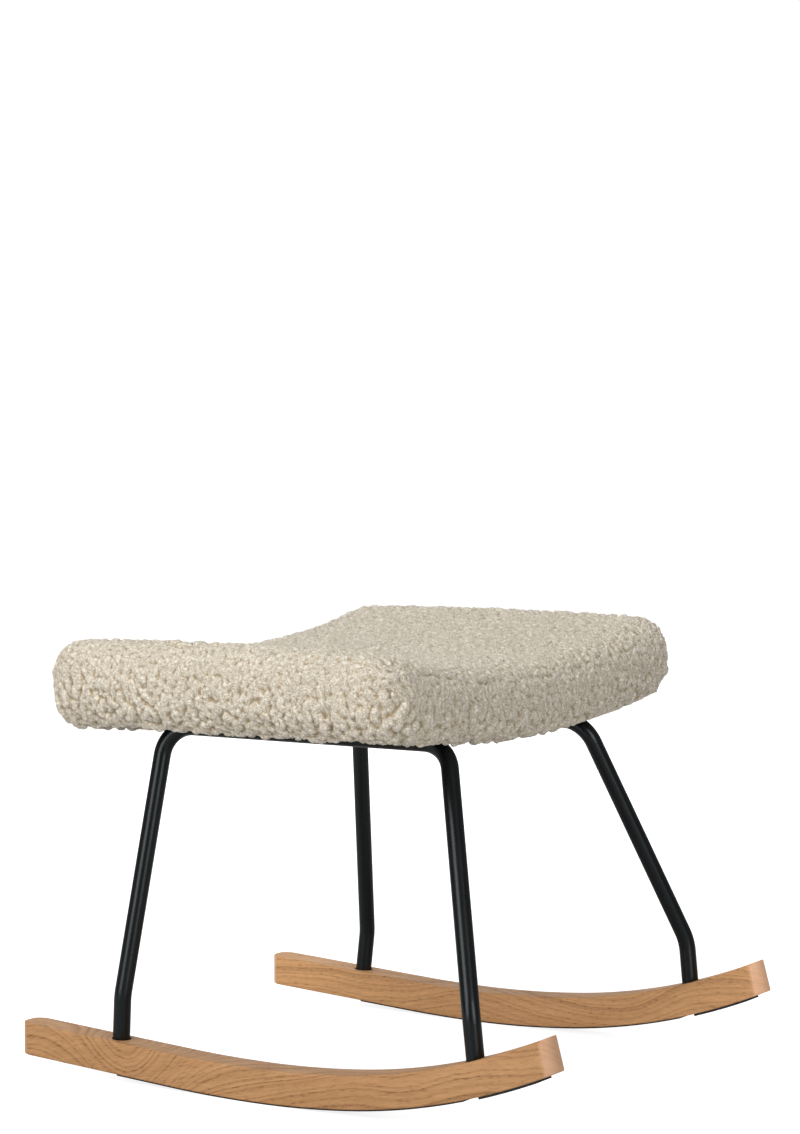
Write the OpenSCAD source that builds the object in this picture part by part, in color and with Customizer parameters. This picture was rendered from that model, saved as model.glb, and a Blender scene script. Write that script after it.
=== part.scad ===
// Rocking footstool: two wooden rockers, two bent tube leg frames and a curved
// padded seat in curly pile cloth. Millimetres. +Z is up, +X is the front, where
// the rockers turn up the most, and +Y is the left side. The origin is on the
// floor, under the middle of the whole stool. The stool stands level, as it
// rests on the lowest point of its rockers.

/* [Rockers] */
// Distance between the centre lines of the two rockers
rocker_spacing = 407; // [380:1:430]
// Thickness of a rocker from side to side
rocker_w = 30; // [27:1:36]
// Height of a rocker's section
rocker_h = 30; // [27:1:36]
// Reach of the front tip ahead of the standing point
front_reach = 305; // [296:1:330]
// Reach of the rear tip behind the standing point
rear_reach = 267; // [240:1:290]
// Radius of the underside behind the standing point
rear_radius = 1465; // [1300:5:1700]
// How far behind the standing point the rocker turns straight
rear_curve_reach = 89; // [70:1:110]
// Radius of the underside just ahead of the standing point
middle_radius = 1018; // [900:2:1200]
// How far ahead of the standing point the front curve takes over
middle_curve_reach = 100; // [80:1:120]
// Radius of the underside from there to the front tip
front_radius = 662; // [600:2:760]
// Lean of the sawn front end, in degrees from upright
front_cut_angle = 15; // [0:1:24]
// Radius that rounds the ends, seen from above
tip_radius = 13; // [6:0.5:13]

/* [Grip strips] */
// How far the strips stand in from each side of the rocker
strip_inset = 1.5; // [1:0.5:8]
// Thickness of the long strip
long_strip_t = 1.2; // [0.8:0.1:2]
// Thickness of the short stop strip near the front tip
short_strip_t = 2; // [1:0.1:3]
// Length of the short strip
short_strip_l = 55; // [30:1:60]
// Gap between a strip and the mouth of a screw recess
strip_gap = 1; // [0.5:0.1:3]

/* [Leg frames] */
// Diameter of the steel tube
tube_d = 16; // [14:0.5:19]
// Wall of the tube
tube_wall = 1.5; // [1:0.1:2]
// Distance of the rear feet behind the standing point
rear_foot_x = 157; // [145:1:170]
// Distance of the front feet ahead of the standing point
front_foot_x = 222; // [210:1:235]
// Height of the tube's lower bend above the top of the rocker
kink_rise = 40; // [34:1:50]
// Distance of the rear lower bends behind the standing point
rear_kink_x = 153.5; // [145:0.5:165]
// Distance of the rear lower bends from the centre plane
rear_kink_y = 205.5; // [195:0.5:212]
// Distance of the front lower bends ahead of the standing point
front_kink_x = 218; // [208:0.5:230]
// Distance of the front lower bends from the centre plane
front_kink_y = 204; // [195:0.5:212]
// Distance of the rear top corners behind the standing point
rear_corner_x = 134; // [120:1:145]
// Distance of the rear top corners from the centre plane
rear_corner_y = 161; // [150:1:172]
// Distance of the front top corners ahead of the standing point
front_corner_x = 148; // [138:1:152]
// Distance of the front top corners from the centre plane
front_corner_y = 125; // [115:1:140]
// Radius of the lower bends, on the tube's centre line
kink_radius = 50; // [30:1:70]
// Radius of the top bends, on the tube's centre line
corner_radius = 30; // [24:1:36]

/* [Feet] */
// Depth of the blind hole that takes the tube
socket_depth = 16; // [12:0.5:17]
// Room round the tube in its hole
socket_clear = 1.2; // [0.3:0.1:2]
// Diameter of the foot screws
foot_screw_d = 5; // [4:0.5:6]
// Length of the foot screws below their heads
foot_screw_l = 26; // [20:1:34]
// Diameter of the screw recess in the underside
recess_d = 13; // [12:0.5:14]
// Depth of the screw recess
recess_depth = 7; // [6:0.5:8]
// Length of the threaded plug in the tube's end
plug_l = 22; // [18:1:30]

/* [Seat] */
// Height of the seat board's underside above the floor, at the bottom of its dip
seat_rise = 322; // [300:1:340]
// Fall of the seat towards the front, in degrees
seat_fall_angle = 0.63; // [0:0.01:1.5]
// Length of the padded seat from front to back
seat_l = 384; // [366:1:400]
// Width of the padded seat from side to side
seat_w = 530; // [500:1:550]
// Distance of the seat's middle behind the standing point
seat_back_x = 12; // [6:0.5:16]
// Radius of the dip in the underside of the board
dip_radius = 1333; // [1200:5:1600]
// Thickness of the board
board_t = 12; // [9:0.5:15]
// Height of the padded seat above the board's underside, at its middle
pad_rise = 66; // [56:1:74]
// Fall of the padding from its crown to its front and back edges
pad_crown = 4; // [0:0.5:8]
// Rise of the padding towards its left and right edges, over the board's own dip
pad_lift = 3; // [0:0.5:6]
// How much higher the padding sits along the left edge, and lower along the right
pad_lean = 5; // [0:0.5:6]
// How far the sides draw in between the corners
draw_in = 3; // [0:0.5:6]
// Radius of the corners, seen from above
seat_corner_r = 40; // [32:1:50]
// Radius that rounds the top edge
top_edge_r = 32; // [24:1:36]
// Radius that rounds the bottom edge
bottom_edge_r = 22; // [14:1:24]
// Thickness of the curly cover with its pile
cover_t = 8; // [6:0.5:10]
// Width of the hem that is turned under the board
hem_w = 26; // [24:0.5:28]
// Thickness of the hem where it ends
hem_t = 3; // [2:0.5:4]
// Depth of the pile below the board's underside
pile_drop = 8; // [6:0.5:10]
// How much lower the pile hangs at the rear edge, and higher at the front
pile_lean = 4; // [0:0.5:5]
// Thickness of the black cloth under the board
dust_cover_t = 0.6; // [0.4:0.1:1]
// Gap between the black cloth and the hem
dust_cover_gap = 2; // [1:0.5:4]
// Room between the padding and what holds it
pad_clear = 0.3; // [0.2:0.1:0.5]

/* [Seat fixings] */
// Width of the cross bars
bar_w = 25; // [20:1:32]
// Thickness of the cross bars
bar_t = 4; // [3:0.5:5]
// Distance of the rear cross bar behind the standing point
rear_bar_x = 88; // [70:1:92]
// Distance of the front cross bar ahead of the standing point
front_bar_x = 98; // [80:1:102]
// Distance of the seat bolts from the centre plane
bolt_y = 85; // [60:1:95]
// Diameter of the seat bolts
bolt_d = 6; // [5:0.5:8]
// Length of the seat bolts below their heads
bolt_l = 16; // [14:0.5:16]
// Length of a staple's crown
staple_w = 10; // [8:0.5:12]
// Thickness of the staple wire
staple_wire = 0.8; // [0.6:0.1:1]
// Length of a staple's legs
staple_leg = 6; // [4:0.5:8]
// Distance of the staples from the edge of the black cloth
staple_inset = 6; // [4:0.5:10]

/* [Hidden] */
$fn = 64;
LEFT = 1;
RIGHT = -1;

// One overrun serves every cut
overrun = 2;
// The bends' extra radius, and their lap over the straight lengths
bend_swell = 0.05;
bend_lap = 0.5;
tube_r = tube_d / 2;
bore_r = tube_r - tube_wall;
half_spacing = rocker_spacing / 2;
mid_x = (front_reach - rear_reach) / 2;
wood_z = long_strip_t;

// The rocker's underside: a straight stretch at the rear, then three arcs that
// run into each other, each with its centre
rear_angle = asin(rear_curve_reach / rear_radius);
middle_angle = asin(middle_curve_reach / middle_radius);
rear_centre_z = wood_z + rear_radius;
middle_centre_z = wood_z + middle_radius;
front_centre_x = (middle_radius - front_radius) * sin(middle_angle);
front_centre_z = middle_centre_z - (middle_radius - front_radius) * cos(middle_angle);
rear_end_z = rear_centre_z - rear_radius * cos(rear_angle);

function arc_z(x, centre_x, centre_z, r) = centre_z - sqrt(r * r - (x - centre_x) * (x - centre_x));
function straight_z(x, up) = rear_end_z + up / cos(rear_angle) + (-x - rear_curve_reach) * tan(rear_angle);
// Height of the line that lies the distance up above the underside, at a place x
function rocker_z(x, up) =
    x < -rear_curve_reach + up * sin(rear_angle) ? straight_z(x, up) :
    x < 0 ? arc_z(x, 0, rear_centre_z, rear_radius - up) :
    x < (middle_radius - up) * sin(middle_angle) ? arc_z(x, 0, middle_centre_z, middle_radius - up) :
    arc_z(x, front_centre_x, front_centre_z, front_radius - up);
// Slope of the underside there, in degrees
function rocker_slope(x) =
    x < -rear_curve_reach ? -rear_angle :
    x < 0 ? asin(x / rear_radius) :
    x < middle_curve_reach ? asin(x / middle_radius) :
    asin((x - front_centre_x) / front_radius);
// The place that lies the distance up from the underside, square to it
function over(x, up) = [x - up * sin(rocker_slope(x)), rocker_z(x, 0) + up * cos(rocker_slope(x))];
// Stops along the curved part, close enough to look round
rear_stops = 7;
middle_stops = 8;
front_stops = 20;
bar_end = front_reach + rocker_h;
curve_stops = concat(
    [for (i = [rear_stops:-1:0]) -rear_curve_reach * i / rear_stops],
    [for (i = [1:middle_stops]) middle_curve_reach * i / middle_stops],
    [for (i = [1:front_stops]) middle_curve_reach + (bar_end - middle_curve_reach) * i / front_stops]);

// The seat's own frame has its origin at the bottom of the dip in the board's
// underside, over the standing point, and falls a little towards the front.
function from_seat(p) = [
    p.x * cos(seat_fall_angle) + p.z * sin(seat_fall_angle),
    p.y,
    seat_rise - p.x * sin(seat_fall_angle) + p.z * cos(seat_fall_angle)];
// Height in the seat's frame of the curved layer that lies up above the underside
function layer_z(up, y) = dip_radius - sqrt((dip_radius - up) * (dip_radius - up) - y * y);

function unit(v) = v / norm(v);

// Places along the tube of one leg frame, from the rear foot to the front foot
rail_drop = dust_cover_t + tube_r;
function foot(x, side) = [x, side * half_spacing, rocker_z(x, rocker_h)];
function rear_kink(side) = [-rear_kink_x, side * rear_kink_y, rocker_z(-rear_foot_x, rocker_h) + kink_rise];
function front_kink(side) = [front_kink_x, side * front_kink_y, rocker_z(front_foot_x, rocker_h) + kink_rise];
function rail_corner(x, y, side) = from_seat([x, side * y, layer_z(-rail_drop, y)]);
function rear_corner(side) = rail_corner(-rear_corner_x, rear_corner_y, side);
function front_corner(side) = rail_corner(front_corner_x, front_corner_y, side);
function rear_stub(side) = unit(rear_kink(side) - foot(-rear_foot_x, side));
function front_stub(side) = unit(front_kink(side) - foot(front_foot_x, side));
function rear_end(side) = foot(-rear_foot_x, side) - socket_depth * rear_stub(side);
function front_end(side) = foot(front_foot_x, side) - socket_depth * front_stub(side);

// Screw and washer sizes follow the thread
foot_hole_r = foot_screw_d / 2 + foot_screw_d / 10;
foot_head_r = foot_screw_d * 0.9;
foot_head_h = foot_screw_d * 0.6;
washer_share = 0.22;
foot_washer_r = foot_screw_d * 1.1;
foot_washer_t = foot_screw_d * washer_share;
bolt_head_r = bolt_d * 0.85;
bolt_head_h = bolt_d * 0.6;
bolt_hole_r = bolt_d / 2 + bolt_d / 20;
bolt_washer_r = bolt_d * 1.1;
bolt_washer_t = bolt_d * washer_share;
socket_key_share = 0.5;
nut_flange_r = bolt_d * 1.6;
nut_flange_t = bolt_d / 4;
nut_barrel_r = bolt_d * 0.7;
nut_barrel_l = board_t * 0.75;

// Mouths of the screw recesses in the underside
rear_mouth_x = -rear_foot_x - rocker_h * rear_stub(LEFT).x / rear_stub(LEFT).z;
front_mouth_x = front_foot_x - rocker_h * front_stub(LEFT).x / front_stub(LEFT).z;
mouth_room = recess_d / 2 + strip_gap;
long_strip_rear = rear_mouth_x + mouth_room;
long_strip_front = front_mouth_x - mouth_room;
stop_strip_rear = front_mouth_x + mouth_room;

// Outline of the seat, seen from above, as places on a rounded rectangle
half_l = seat_l / 2;
half_w = seat_w / 2;
corner_steps = 4;
side_steps = 12;
front_steps = 3;
cloth_l = 2 * (half_l - hem_w - dust_cover_gap);
cloth_w = 2 * (half_w - hem_w - dust_cover_gap);
cloth_r = seat_corner_r - hem_w;
board_inset = cover_t + draw_in + pad_clear;

module placed() translate([-mid_x, 0, 0]) children();
module on_seat() translate([0, 0, seat_rise]) rotate([0, seat_fall_angle, 0]) children();

// Draws its children along +Z from the point a towards the point b
module aimed(a, b) {
    d = unit(b - a);
    translate(a) rotate([0, acos(d.z), atan2(d.y, d.x)]) children();
}

module rod(a, b, r) aimed(a, b) cylinder(h = norm(b - a), r = r);

// Length that a bend of radius r takes off each leg of the corner b
function bend_trim(a, b, c, r) = r * tan(acos(unit(b - a) * unit(c - b)) / 2);

// A bent rod round the corner b, on the way from a to c. It is a hair thicker
// than the straight lengths and laps over them, so that they join cleanly.
module bend(a, b, c, r, rod_r) {
    ahead = unit(b - a);
    turn = acos(ahead * unit(c - b));
    across = unit(unit(c - b) - cos(turn) * ahead);
    lift = cross(-across, ahead);
    o = b - ahead * r * tan(turn / 2) + across * r;
    lap = asin(bend_lap / r);
    multmatrix([
        [-across.x, ahead.x, lift.x, o.x],
        [-across.y, ahead.y, lift.y, o.y],
        [-across.z, ahead.z, lift.z, o.z],
        [0, 0, 0, 1]])
        rotate(-lap) rotate_extrude(angle = turn + 2 * lap) translate([r, 0]) circle(r = rod_r + bend_swell);
}

// The whole bent line of a leg frame as a solid rod, longer at both ends by extra
module frame_rod(side, rod_r, extra) {
    p = [rear_end(side) - extra * rear_stub(side), rear_kink(side), rear_corner(side),
        front_corner(side), front_kink(side), front_end(side) - extra * front_stub(side)];
    radii = [0, kink_radius, corner_radius, corner_radius, kink_radius, 0];
    trims = [for (i = [0:5]) i == 0 || i == 5 ? 0 : bend_trim(p[i - 1], p[i], p[i + 1], radii[i])];
    for (i = [0:4])
        rod(p[i] + trims[i] * unit(p[i + 1] - p[i]), p[i + 1] - trims[i + 1] * unit(p[i + 1] - p[i]), rod_r);
    for (i = [1:4]) bend(p[i - 1], p[i], p[i + 1], radii[i], rod_r);
}

module leg_frame(side) {
    color("#1d1d1f") placed() difference() {
        frame_rod(side, tube_r, 0);
        frame_rod(side, bore_r, overrun);
    }
}

// A bar that follows the underside from one place to another, between two
// heights over it
module followed(from_x, to_x, low, high, w) {
    inner = [for (x = curve_stops) if (x > from_x + overrun && x < to_x - overrun) x];
    stops = concat([from_x], inner, [to_x]);
    n = len(stops);
    translate([0, w / 2, 0]) rotate([90, 0, 0]) linear_extrude(height = w)
        polygon(concat([for (x = stops) over(x, low)], [for (i = [n - 1:-1:0]) over(stops[i], high)]));
}

// Outline of a rocker's end, seen from above, with its tip at the origin
module tip_outline() {
    inner_w = rocker_w - 2 * tip_radius;
    reach = front_reach + rear_reach + rocker_h;
    translate([-reach, -rocker_w / 2]) square([reach - tip_radius, rocker_w]);
    translate([-2 * tip_radius, -inner_w / 2]) square([2 * tip_radius, inner_w]);
    for (side = [RIGHT, LEFT])
        translate([-tip_radius, side * inner_w / 2]) circle(r = tip_radius);
}

// Hole for the tube, hole for the screw and recess for its head, along one stub
module foot_cuts(at, stub) {
    floor_at = at - socket_depth * stub;
    recess_at = at - (rocker_h - recess_depth) * stub;
    rod(floor_at, at + (tube_r + overrun) * stub, tube_r + socket_clear);
    rod(recess_at - overrun * stub, floor_at + overrun * stub, foot_hole_r);
    rod(recess_at - (recess_depth + tube_r + overrun) * stub, recess_at, recess_d / 2);
}

module rocker(side) {
    tall = seat_rise;
    difference() {
        intersection() {
            translate([0, side * half_spacing, 0])
                followed(-rear_reach - rocker_h, bar_end, 0, rocker_h, rocker_w);
            translate([front_reach, side * half_spacing, rocker_z(front_reach, 0)])
                rotate([0, -front_cut_angle, 0]) translate([0, 0, -tall / 2])
                linear_extrude(height = tall) tip_outline();
            translate([-rear_reach, side * half_spacing, 0]) translate([0, 0, -tall / 2])
                linear_extrude(height = tall) rotate(180) tip_outline();
        }
        foot_cuts(foot(-rear_foot_x, side), rear_stub(side));
        foot_cuts(foot(front_foot_x, side), front_stub(side));
    }
}

module long_strip(side) {
    color("#2b2b2b") placed() translate([0, side * half_spacing, 0])
        followed(long_strip_rear, long_strip_front, -long_strip_t, 0, rocker_w - 2 * strip_inset);
}

module stop_strip(side) {
    color("#2b2b2b") placed() translate([0, side * half_spacing, 0])
        followed(stop_strip_rear, stop_strip_rear + short_strip_l, -short_strip_t, 0,
                 rocker_w - 2 * strip_inset);
}

// Draws its children at the four feet, along the stub from the floor of its hole
module at_feet() {
    for (side = [LEFT, RIGHT]) {
        aimed(rear_end(side), rear_kink(side)) children();
        aimed(front_end(side), front_kink(side)) children();
    }
}

web = rocker_h - recess_depth - socket_depth;

module tube_plugs() {
    color("silver") placed() at_feet() difference() {
        cylinder(h = plug_l, r = bore_r);
        translate([0, 0, -overrun]) cylinder(h = plug_l + 2 * overrun, r = foot_screw_d / 2);
    }
}

module foot_washers() {
    color("silver") placed() at_feet() translate([0, 0, -web - foot_washer_t]) difference() {
        cylinder(h = foot_washer_t, r = foot_washer_r);
        translate([0, 0, -overrun]) cylinder(h = foot_washer_t + 2 * overrun, r = foot_screw_d / 2);
    }
}

// A round head with a hexagon socket, its shank standing on it
module socket_screw(head_r, head_h, shank_r, shank_l) {
    difference() {
        union() {
            translate([0, 0, -head_h]) cylinder(h = head_h, r = head_r);
            cylinder(h = shank_l, r = shank_r);
        }
        translate([0, 0, -head_h - overrun])
            cylinder(h = head_h * socket_key_share + overrun, r = head_r * socket_key_share, $fn = 6);
    }
}

module foot_screws() {
    color("silver") placed() at_feet() translate([0, 0, -web - foot_washer_t])
        socket_screw(foot_head_r, foot_head_h, foot_screw_d / 2, foot_screw_l);
}

// A curved layer of the seat between two depths under the board's underside
module seat_layer(x_from, x_to, low, high) {
    translate([x_from, 0, dip_radius]) rotate([0, 90, 0]) difference() {
        cylinder(h = x_to - x_from, r = dip_radius - low, $fn = 360);
        translate([0, 0, -overrun])
            cylinder(h = x_to - x_from + 2 * overrun, r = dip_radius - high, $fn = 360);
    }
}

// A rounded rectangle round the seat's middle, as a tall block
module seat_block(l, w, r) {
    tall = dip_radius / 4;
    translate([-seat_back_x, 0, -tall / 2]) linear_extrude(height = tall) {
        square([l - 2 * r, w], center = true);
        square([l, w - 2 * r], center = true);
        for (x = [-1, 1], y = [-1, 1])
            translate([x * (l / 2 - r), y * (w / 2 - r)]) circle(r = r);
    }
}

// Draws its children square to the board, at a place on its underside
module at_board(x, y) {
    translate([x, 0, dip_radius]) rotate([asin(y / dip_radius), 0, 0])
        translate([0, 0, -dip_radius]) children();
}

module at_bolts() {
    for (x = [-rear_bar_x, front_bar_x], y = [-bolt_y, bolt_y]) at_board(x, y) children();
}

// Distance of the rail's centre line from the centre plane, at a place x
function rail_y(x) = rear_corner_y
    + (front_corner_y - rear_corner_y) * (x + rear_corner_x) / (front_corner_x + rear_corner_x);

// The bar lies against the board and butts against the sides of both rails
module cross_bar(x) {
    tall = dip_radius / 4;
    ends = [for (end_x = [x - bar_w / 2, x + bar_w / 2]) [end_x, rail_y(end_x) - tube_r / 2]];
    color("#1d1d1f") placed() difference() {
        on_seat() difference() {
            intersection() {
                seat_layer(x - bar_w, x + bar_w, -dust_cover_t - bar_t, -dust_cover_t);
                translate([0, 0, -tall / 2]) linear_extrude(height = tall)
                    polygon([ends[0], ends[1], [ends[1].x, -ends[1].y], [ends[0].x, -ends[0].y]]);
            }
            for (y = [-bolt_y, bolt_y]) at_board(x, y)
                translate([0, 0, -bar_t - bolt_d]) cylinder(h = 2 * bolt_d + bar_t, r = bolt_hole_r);
        }
        for (side = [LEFT, RIGHT]) rod(rear_corner(side), front_corner(side), tube_r);
    }
}

module board_outline() {
    seat_block(seat_l - 2 * board_inset, seat_w - 2 * board_inset, seat_corner_r - board_inset);
}

module seat_board() {
    color("#c9a06c") placed() on_seat() difference() {
        intersection() {
            seat_layer(-seat_back_x - half_l, -seat_back_x + half_l, 0, board_t);
            board_outline();
        }
        at_bolts() translate([0, 0, -bolt_d]) cylinder(h = board_t + 2 * bolt_d, r = nut_barrel_r);
        at_bolts() translate([0, 0, board_t - nut_flange_t])
            cylinder(h = nut_flange_t + overrun, r = nut_flange_r);
        staples();
    }
}

module seat_tee_nuts() {
    color("silver") placed() on_seat() at_bolts() difference() {
        union() {
            translate([0, 0, board_t - nut_flange_t]) cylinder(h = nut_flange_t, r = nut_flange_r);
            translate([0, 0, board_t - nut_barrel_l]) cylinder(h = nut_barrel_l, r = nut_barrel_r);
        }
        translate([0, 0, -overrun]) cylinder(h = board_t + 2 * overrun, r = bolt_d / 2);
    }
}

module seat_bolt_washers() {
    color("silver") placed() on_seat() at_bolts()
        translate([0, 0, -dust_cover_t - bar_t - bolt_washer_t]) difference() {
            cylinder(h = bolt_washer_t, r = bolt_washer_r);
            translate([0, 0, -overrun]) cylinder(h = bolt_washer_t + 2 * overrun, r = bolt_d / 2);
        }
}

module seat_bolts() {
    color("#3a3a3c") placed() on_seat() at_bolts()
        translate([0, 0, -dust_cover_t - bar_t - bolt_washer_t])
        socket_screw(bolt_head_r, bolt_head_h, bolt_d / 2, bolt_l);
}

module dust_cover() {
    color("#18181a") placed() on_seat() difference() {
        intersection() {
            seat_layer(-seat_back_x - half_l, -seat_back_x + half_l, -dust_cover_t, 0);
            seat_block(cloth_l, cloth_w, cloth_r);
        }
        at_bolts() translate([0, 0, -bolt_d]) cylinder(h = 2 * bolt_d, r = bolt_hole_r);
        staples();
    }
}

// One staple, its crown against the cloth and its legs in the board
module staple() {
    translate([-staple_w / 2, -staple_wire / 2, -dust_cover_t - staple_wire])
        cube([staple_w, staple_wire, staple_wire]);
    for (side = [0, 1])
        translate([-staple_w / 2 + side * (staple_w - staple_wire), -staple_wire / 2, -dust_cover_t - staple_wire])
            cube([staple_wire, staple_wire, staple_leg + staple_wire]);
}

staple_x = cloth_l / 2 - staple_inset;
staple_y = cloth_w / 2 - staple_inset;
row_shares = [-0.76, -0.38, 0, 0.38, 0.76];

module staples() {
    for (share = row_shares) {
        for (y = [-staple_y, staple_y]) at_board(-seat_back_x + share * staple_x, y) staple();
        for (x = [-staple_x, staple_x]) at_board(-seat_back_x + x, share * staple_y) rotate(90) staple();
    }
}

module dust_cover_staples() {
    color("silver") placed() on_seat() staples();
}

// Places on the seat's outline, drawn in by inset, in one turn round it
function corner_run(x, y, r, from_angle) =
    [for (i = [0:corner_steps]) [x + r * cos(from_angle + i * 90 / corner_steps),
        y + r * sin(from_angle + i * 90 / corner_steps)]];
function side_run(a, b, steps) = [for (i = [1:steps - 1]) a + (b - a) * i / steps];
function outline(inset) =
    let (r = max(seat_corner_r - inset, draw_in),
        x = half_l - max(inset, 0) - r,
        y = half_w - max(inset, 0) - r,
        c1 = corner_run(x, y, r, 0),
        c2 = corner_run(-x, y, r, 90),
        c3 = corner_run(-x, -y, r, 180),
        c4 = corner_run(x, -y, r, 270))
    concat(c1, side_run(c1[corner_steps], c2[0], front_steps),
        c2, side_run(c2[corner_steps], c3[0], side_steps),
        c3, side_run(c3[corner_steps], c4[0], front_steps),
        c4, side_run(c4[corner_steps], c1[0], side_steps));
// Sides draw in between the corners
function drawn(p) = [
    p.x * (1 - draw_in / half_l * (1 - p.y * p.y / (half_w * half_w))),
    p.y * (1 - draw_in / half_w * (1 - p.x * p.x / (half_l * half_l)))];
// The padding's rise and fall over the board's own dip, for a place on its outline
function swell(p) = pad_lift * p.y * p.y / (half_w * half_w) - pad_crown * p.x * p.x / (half_l * half_l);
// A place on the padding: how far up it is, and which shares it has of the
// swelling on top, of the lean from side to side and of the lean of the pile
function pad_point(p, ring) =
    let (q = drawn(p))
    [q.x - seat_back_x, q.y, layer_z(ring[1], q.y) + ring[2] * swell(q)
        + ring[3] * pad_lean * q.y / half_w + ring[4] * pile_lean * q.x / half_l];

// A closed skin through rings of [inset, up, three shares], with a middle point
// at each end
module ringed_form(rings) {
    rows = [for (ring = rings) [for (p = outline(ring[0])) pad_point(p, ring)]];
    n = len(rows[0]);
    last = len(rows) - 1;
    points = concat([for (row = rows) each row],
        [for (ring = [rings[0], rings[last]]) pad_point([0, 0], ring)]);
    first_mid = n * (last + 1);
    faces = concat(
        [for (k = [0:last - 1], i = [0:n - 1]) [k * n + i, k * n + (i + 1) % n, (k + 1) * n + (i + 1) % n]],
        [for (k = [0:last - 1], i = [0:n - 1]) [k * n + i, (k + 1) * n + (i + 1) % n, (k + 1) * n + i]],
        [for (i = [0:n - 1]) [first_mid, (i + 1) % n, i]],
        [for (i = [0:n - 1]) [first_mid + 1, last * n + i, last * n + (i + 1) % n]]);
    polyhedron(points = points, faces = faces);
}

// Rings that round an edge of radius r, from one angle to another, in some steps
function edge_rings(r, inset_at, up_at, from_angle, to_angle, steps, shares) =
    [for (i = [0:steps]) let (a = from_angle + (to_angle - from_angle) * i / steps)
        concat([inset_at - r * cos(a), up_at + r * sin(a)], shares)];

// Rings across the flat of the padding, from the middle out, as shares of the half length
mid_shares = [0.85, 0.55, 0.25];
out_from_mid = [0, 1, 2];
in_to_mid = [2, 1, 0];
function flat_rings(order, up, shares) =
    [for (i = order) concat([mid_shares[i] * half_l, up], shares)];
// Shares of the swelling, of the padding's lean and of the pile's lean
on_top_shares = [1, 1, 0];
underneath_shares = [0, 1, 1];
at_board_shares = [0, 0, 0];
top_edge_steps = 5;
bottom_edge_steps = 3;
inner_edge_steps = 3;
inner_edge_r = top_edge_r - cover_t;
inner_rise = pad_rise - cover_t;

// From the outer top, over the edge, down the side and round the hem into the inside
cover_rings = concat(
    flat_rings(out_from_mid, pad_rise, on_top_shares),
    edge_rings(top_edge_r, top_edge_r, pad_rise - top_edge_r, 90, 0, top_edge_steps, on_top_shares),
    edge_rings(bottom_edge_r, bottom_edge_r, bottom_edge_r - pile_drop, 0, -90, bottom_edge_steps,
        underneath_shares),
    [concat([hem_w, -hem_t], at_board_shares), concat([hem_w, -pad_clear], at_board_shares),
        concat([cover_t, -pad_clear], at_board_shares)],
    edge_rings(inner_edge_r, cover_t + inner_edge_r, inner_rise - inner_edge_r, 0, 90, inner_edge_steps,
        on_top_shares),
    flat_rings(in_to_mid, inner_rise, on_top_shares));

foam_inset = cover_t + pad_clear;
foam_edge_r = inner_edge_r - pad_clear;
foam_rings = concat(
    flat_rings(out_from_mid, board_t + pad_clear, at_board_shares),
    [concat([foam_inset, board_t + pad_clear], at_board_shares)],
    edge_rings(foam_edge_r, foam_inset + foam_edge_r, inner_rise - inner_edge_r, 0, 90, inner_edge_steps,
        on_top_shares),
    flat_rings(in_to_mid, inner_rise - pad_clear, on_top_shares));

module seat_cover() {
    color("#d8cfbd") placed() on_seat() ringed_form(cover_rings);
}

module foam_pad() {
    color("#efe6c8") placed() on_seat() ringed_form(foam_rings);
}

module left_rocker() color("#c99a62") placed() rocker(LEFT);
module right_rocker() color("#c99a62") placed() rocker(RIGHT);

left_rocker();
right_rocker();
long_strip(LEFT);  // left_long_strip
long_strip(RIGHT);  // right_long_strip
stop_strip(LEFT);  // left_stop_strip
stop_strip(RIGHT);  // right_stop_strip
leg_frame(LEFT);  // left_leg_frame
leg_frame(RIGHT);  // right_leg_frame
tube_plugs();
foot_screws();
foot_washers();
cross_bar(front_bar_x);  // front_cross_bar
cross_bar(-rear_bar_x);  // rear_cross_bar
seat_board();
seat_tee_nuts();
seat_bolts();
seat_bolt_washers();
foam_pad();
seat_cover();
dust_cover();
dust_cover_staples();
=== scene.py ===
# Rocking footstool: the looks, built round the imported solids. Metres throughout,
# with sizes written in millimetres times MM. +X is the front, +Y the left side.
import math
import random

import bpy
import numpy as np
from mathutils import Matrix, Vector, kdtree, noise


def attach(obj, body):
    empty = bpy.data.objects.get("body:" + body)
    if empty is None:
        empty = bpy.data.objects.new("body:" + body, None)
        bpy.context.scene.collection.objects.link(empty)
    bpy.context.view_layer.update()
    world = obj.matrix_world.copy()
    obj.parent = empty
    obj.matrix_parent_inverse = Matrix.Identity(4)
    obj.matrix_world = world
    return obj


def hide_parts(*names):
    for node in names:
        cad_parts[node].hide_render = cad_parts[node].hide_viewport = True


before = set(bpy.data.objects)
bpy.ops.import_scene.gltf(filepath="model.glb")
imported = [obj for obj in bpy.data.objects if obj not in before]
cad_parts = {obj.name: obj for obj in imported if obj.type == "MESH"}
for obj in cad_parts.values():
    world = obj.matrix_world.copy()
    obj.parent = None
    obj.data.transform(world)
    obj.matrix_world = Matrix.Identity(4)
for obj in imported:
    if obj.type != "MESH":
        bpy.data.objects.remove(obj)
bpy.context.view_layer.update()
MM = 0.001

# Camera and studio

# The stool is seen from its right side and a little from the front, from about
# half a metre up, through a long lens. It stands on white paper between five soft
# lamps: high on the right, low on the right, in front, behind on the left, overhead.
CAMERA_AT = Vector((1.3716, -2.1591, 0.5593))
CAMERA_AIM = Vector((-0.0101, 0.0166, 0.4671))
CAMERA_ROLL = math.radians(-0.25)
LENS = 86.22
SENSOR = 36.0


def aimed(at, aim):
    """The place and turn of a camera or lamp at one point that looks at another."""
    at, aim = Vector(at), Vector(aim)
    return Matrix.Translation(at) @ (aim - at).to_track_quat("-Z", "Y").to_matrix().to_4x4()


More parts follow.
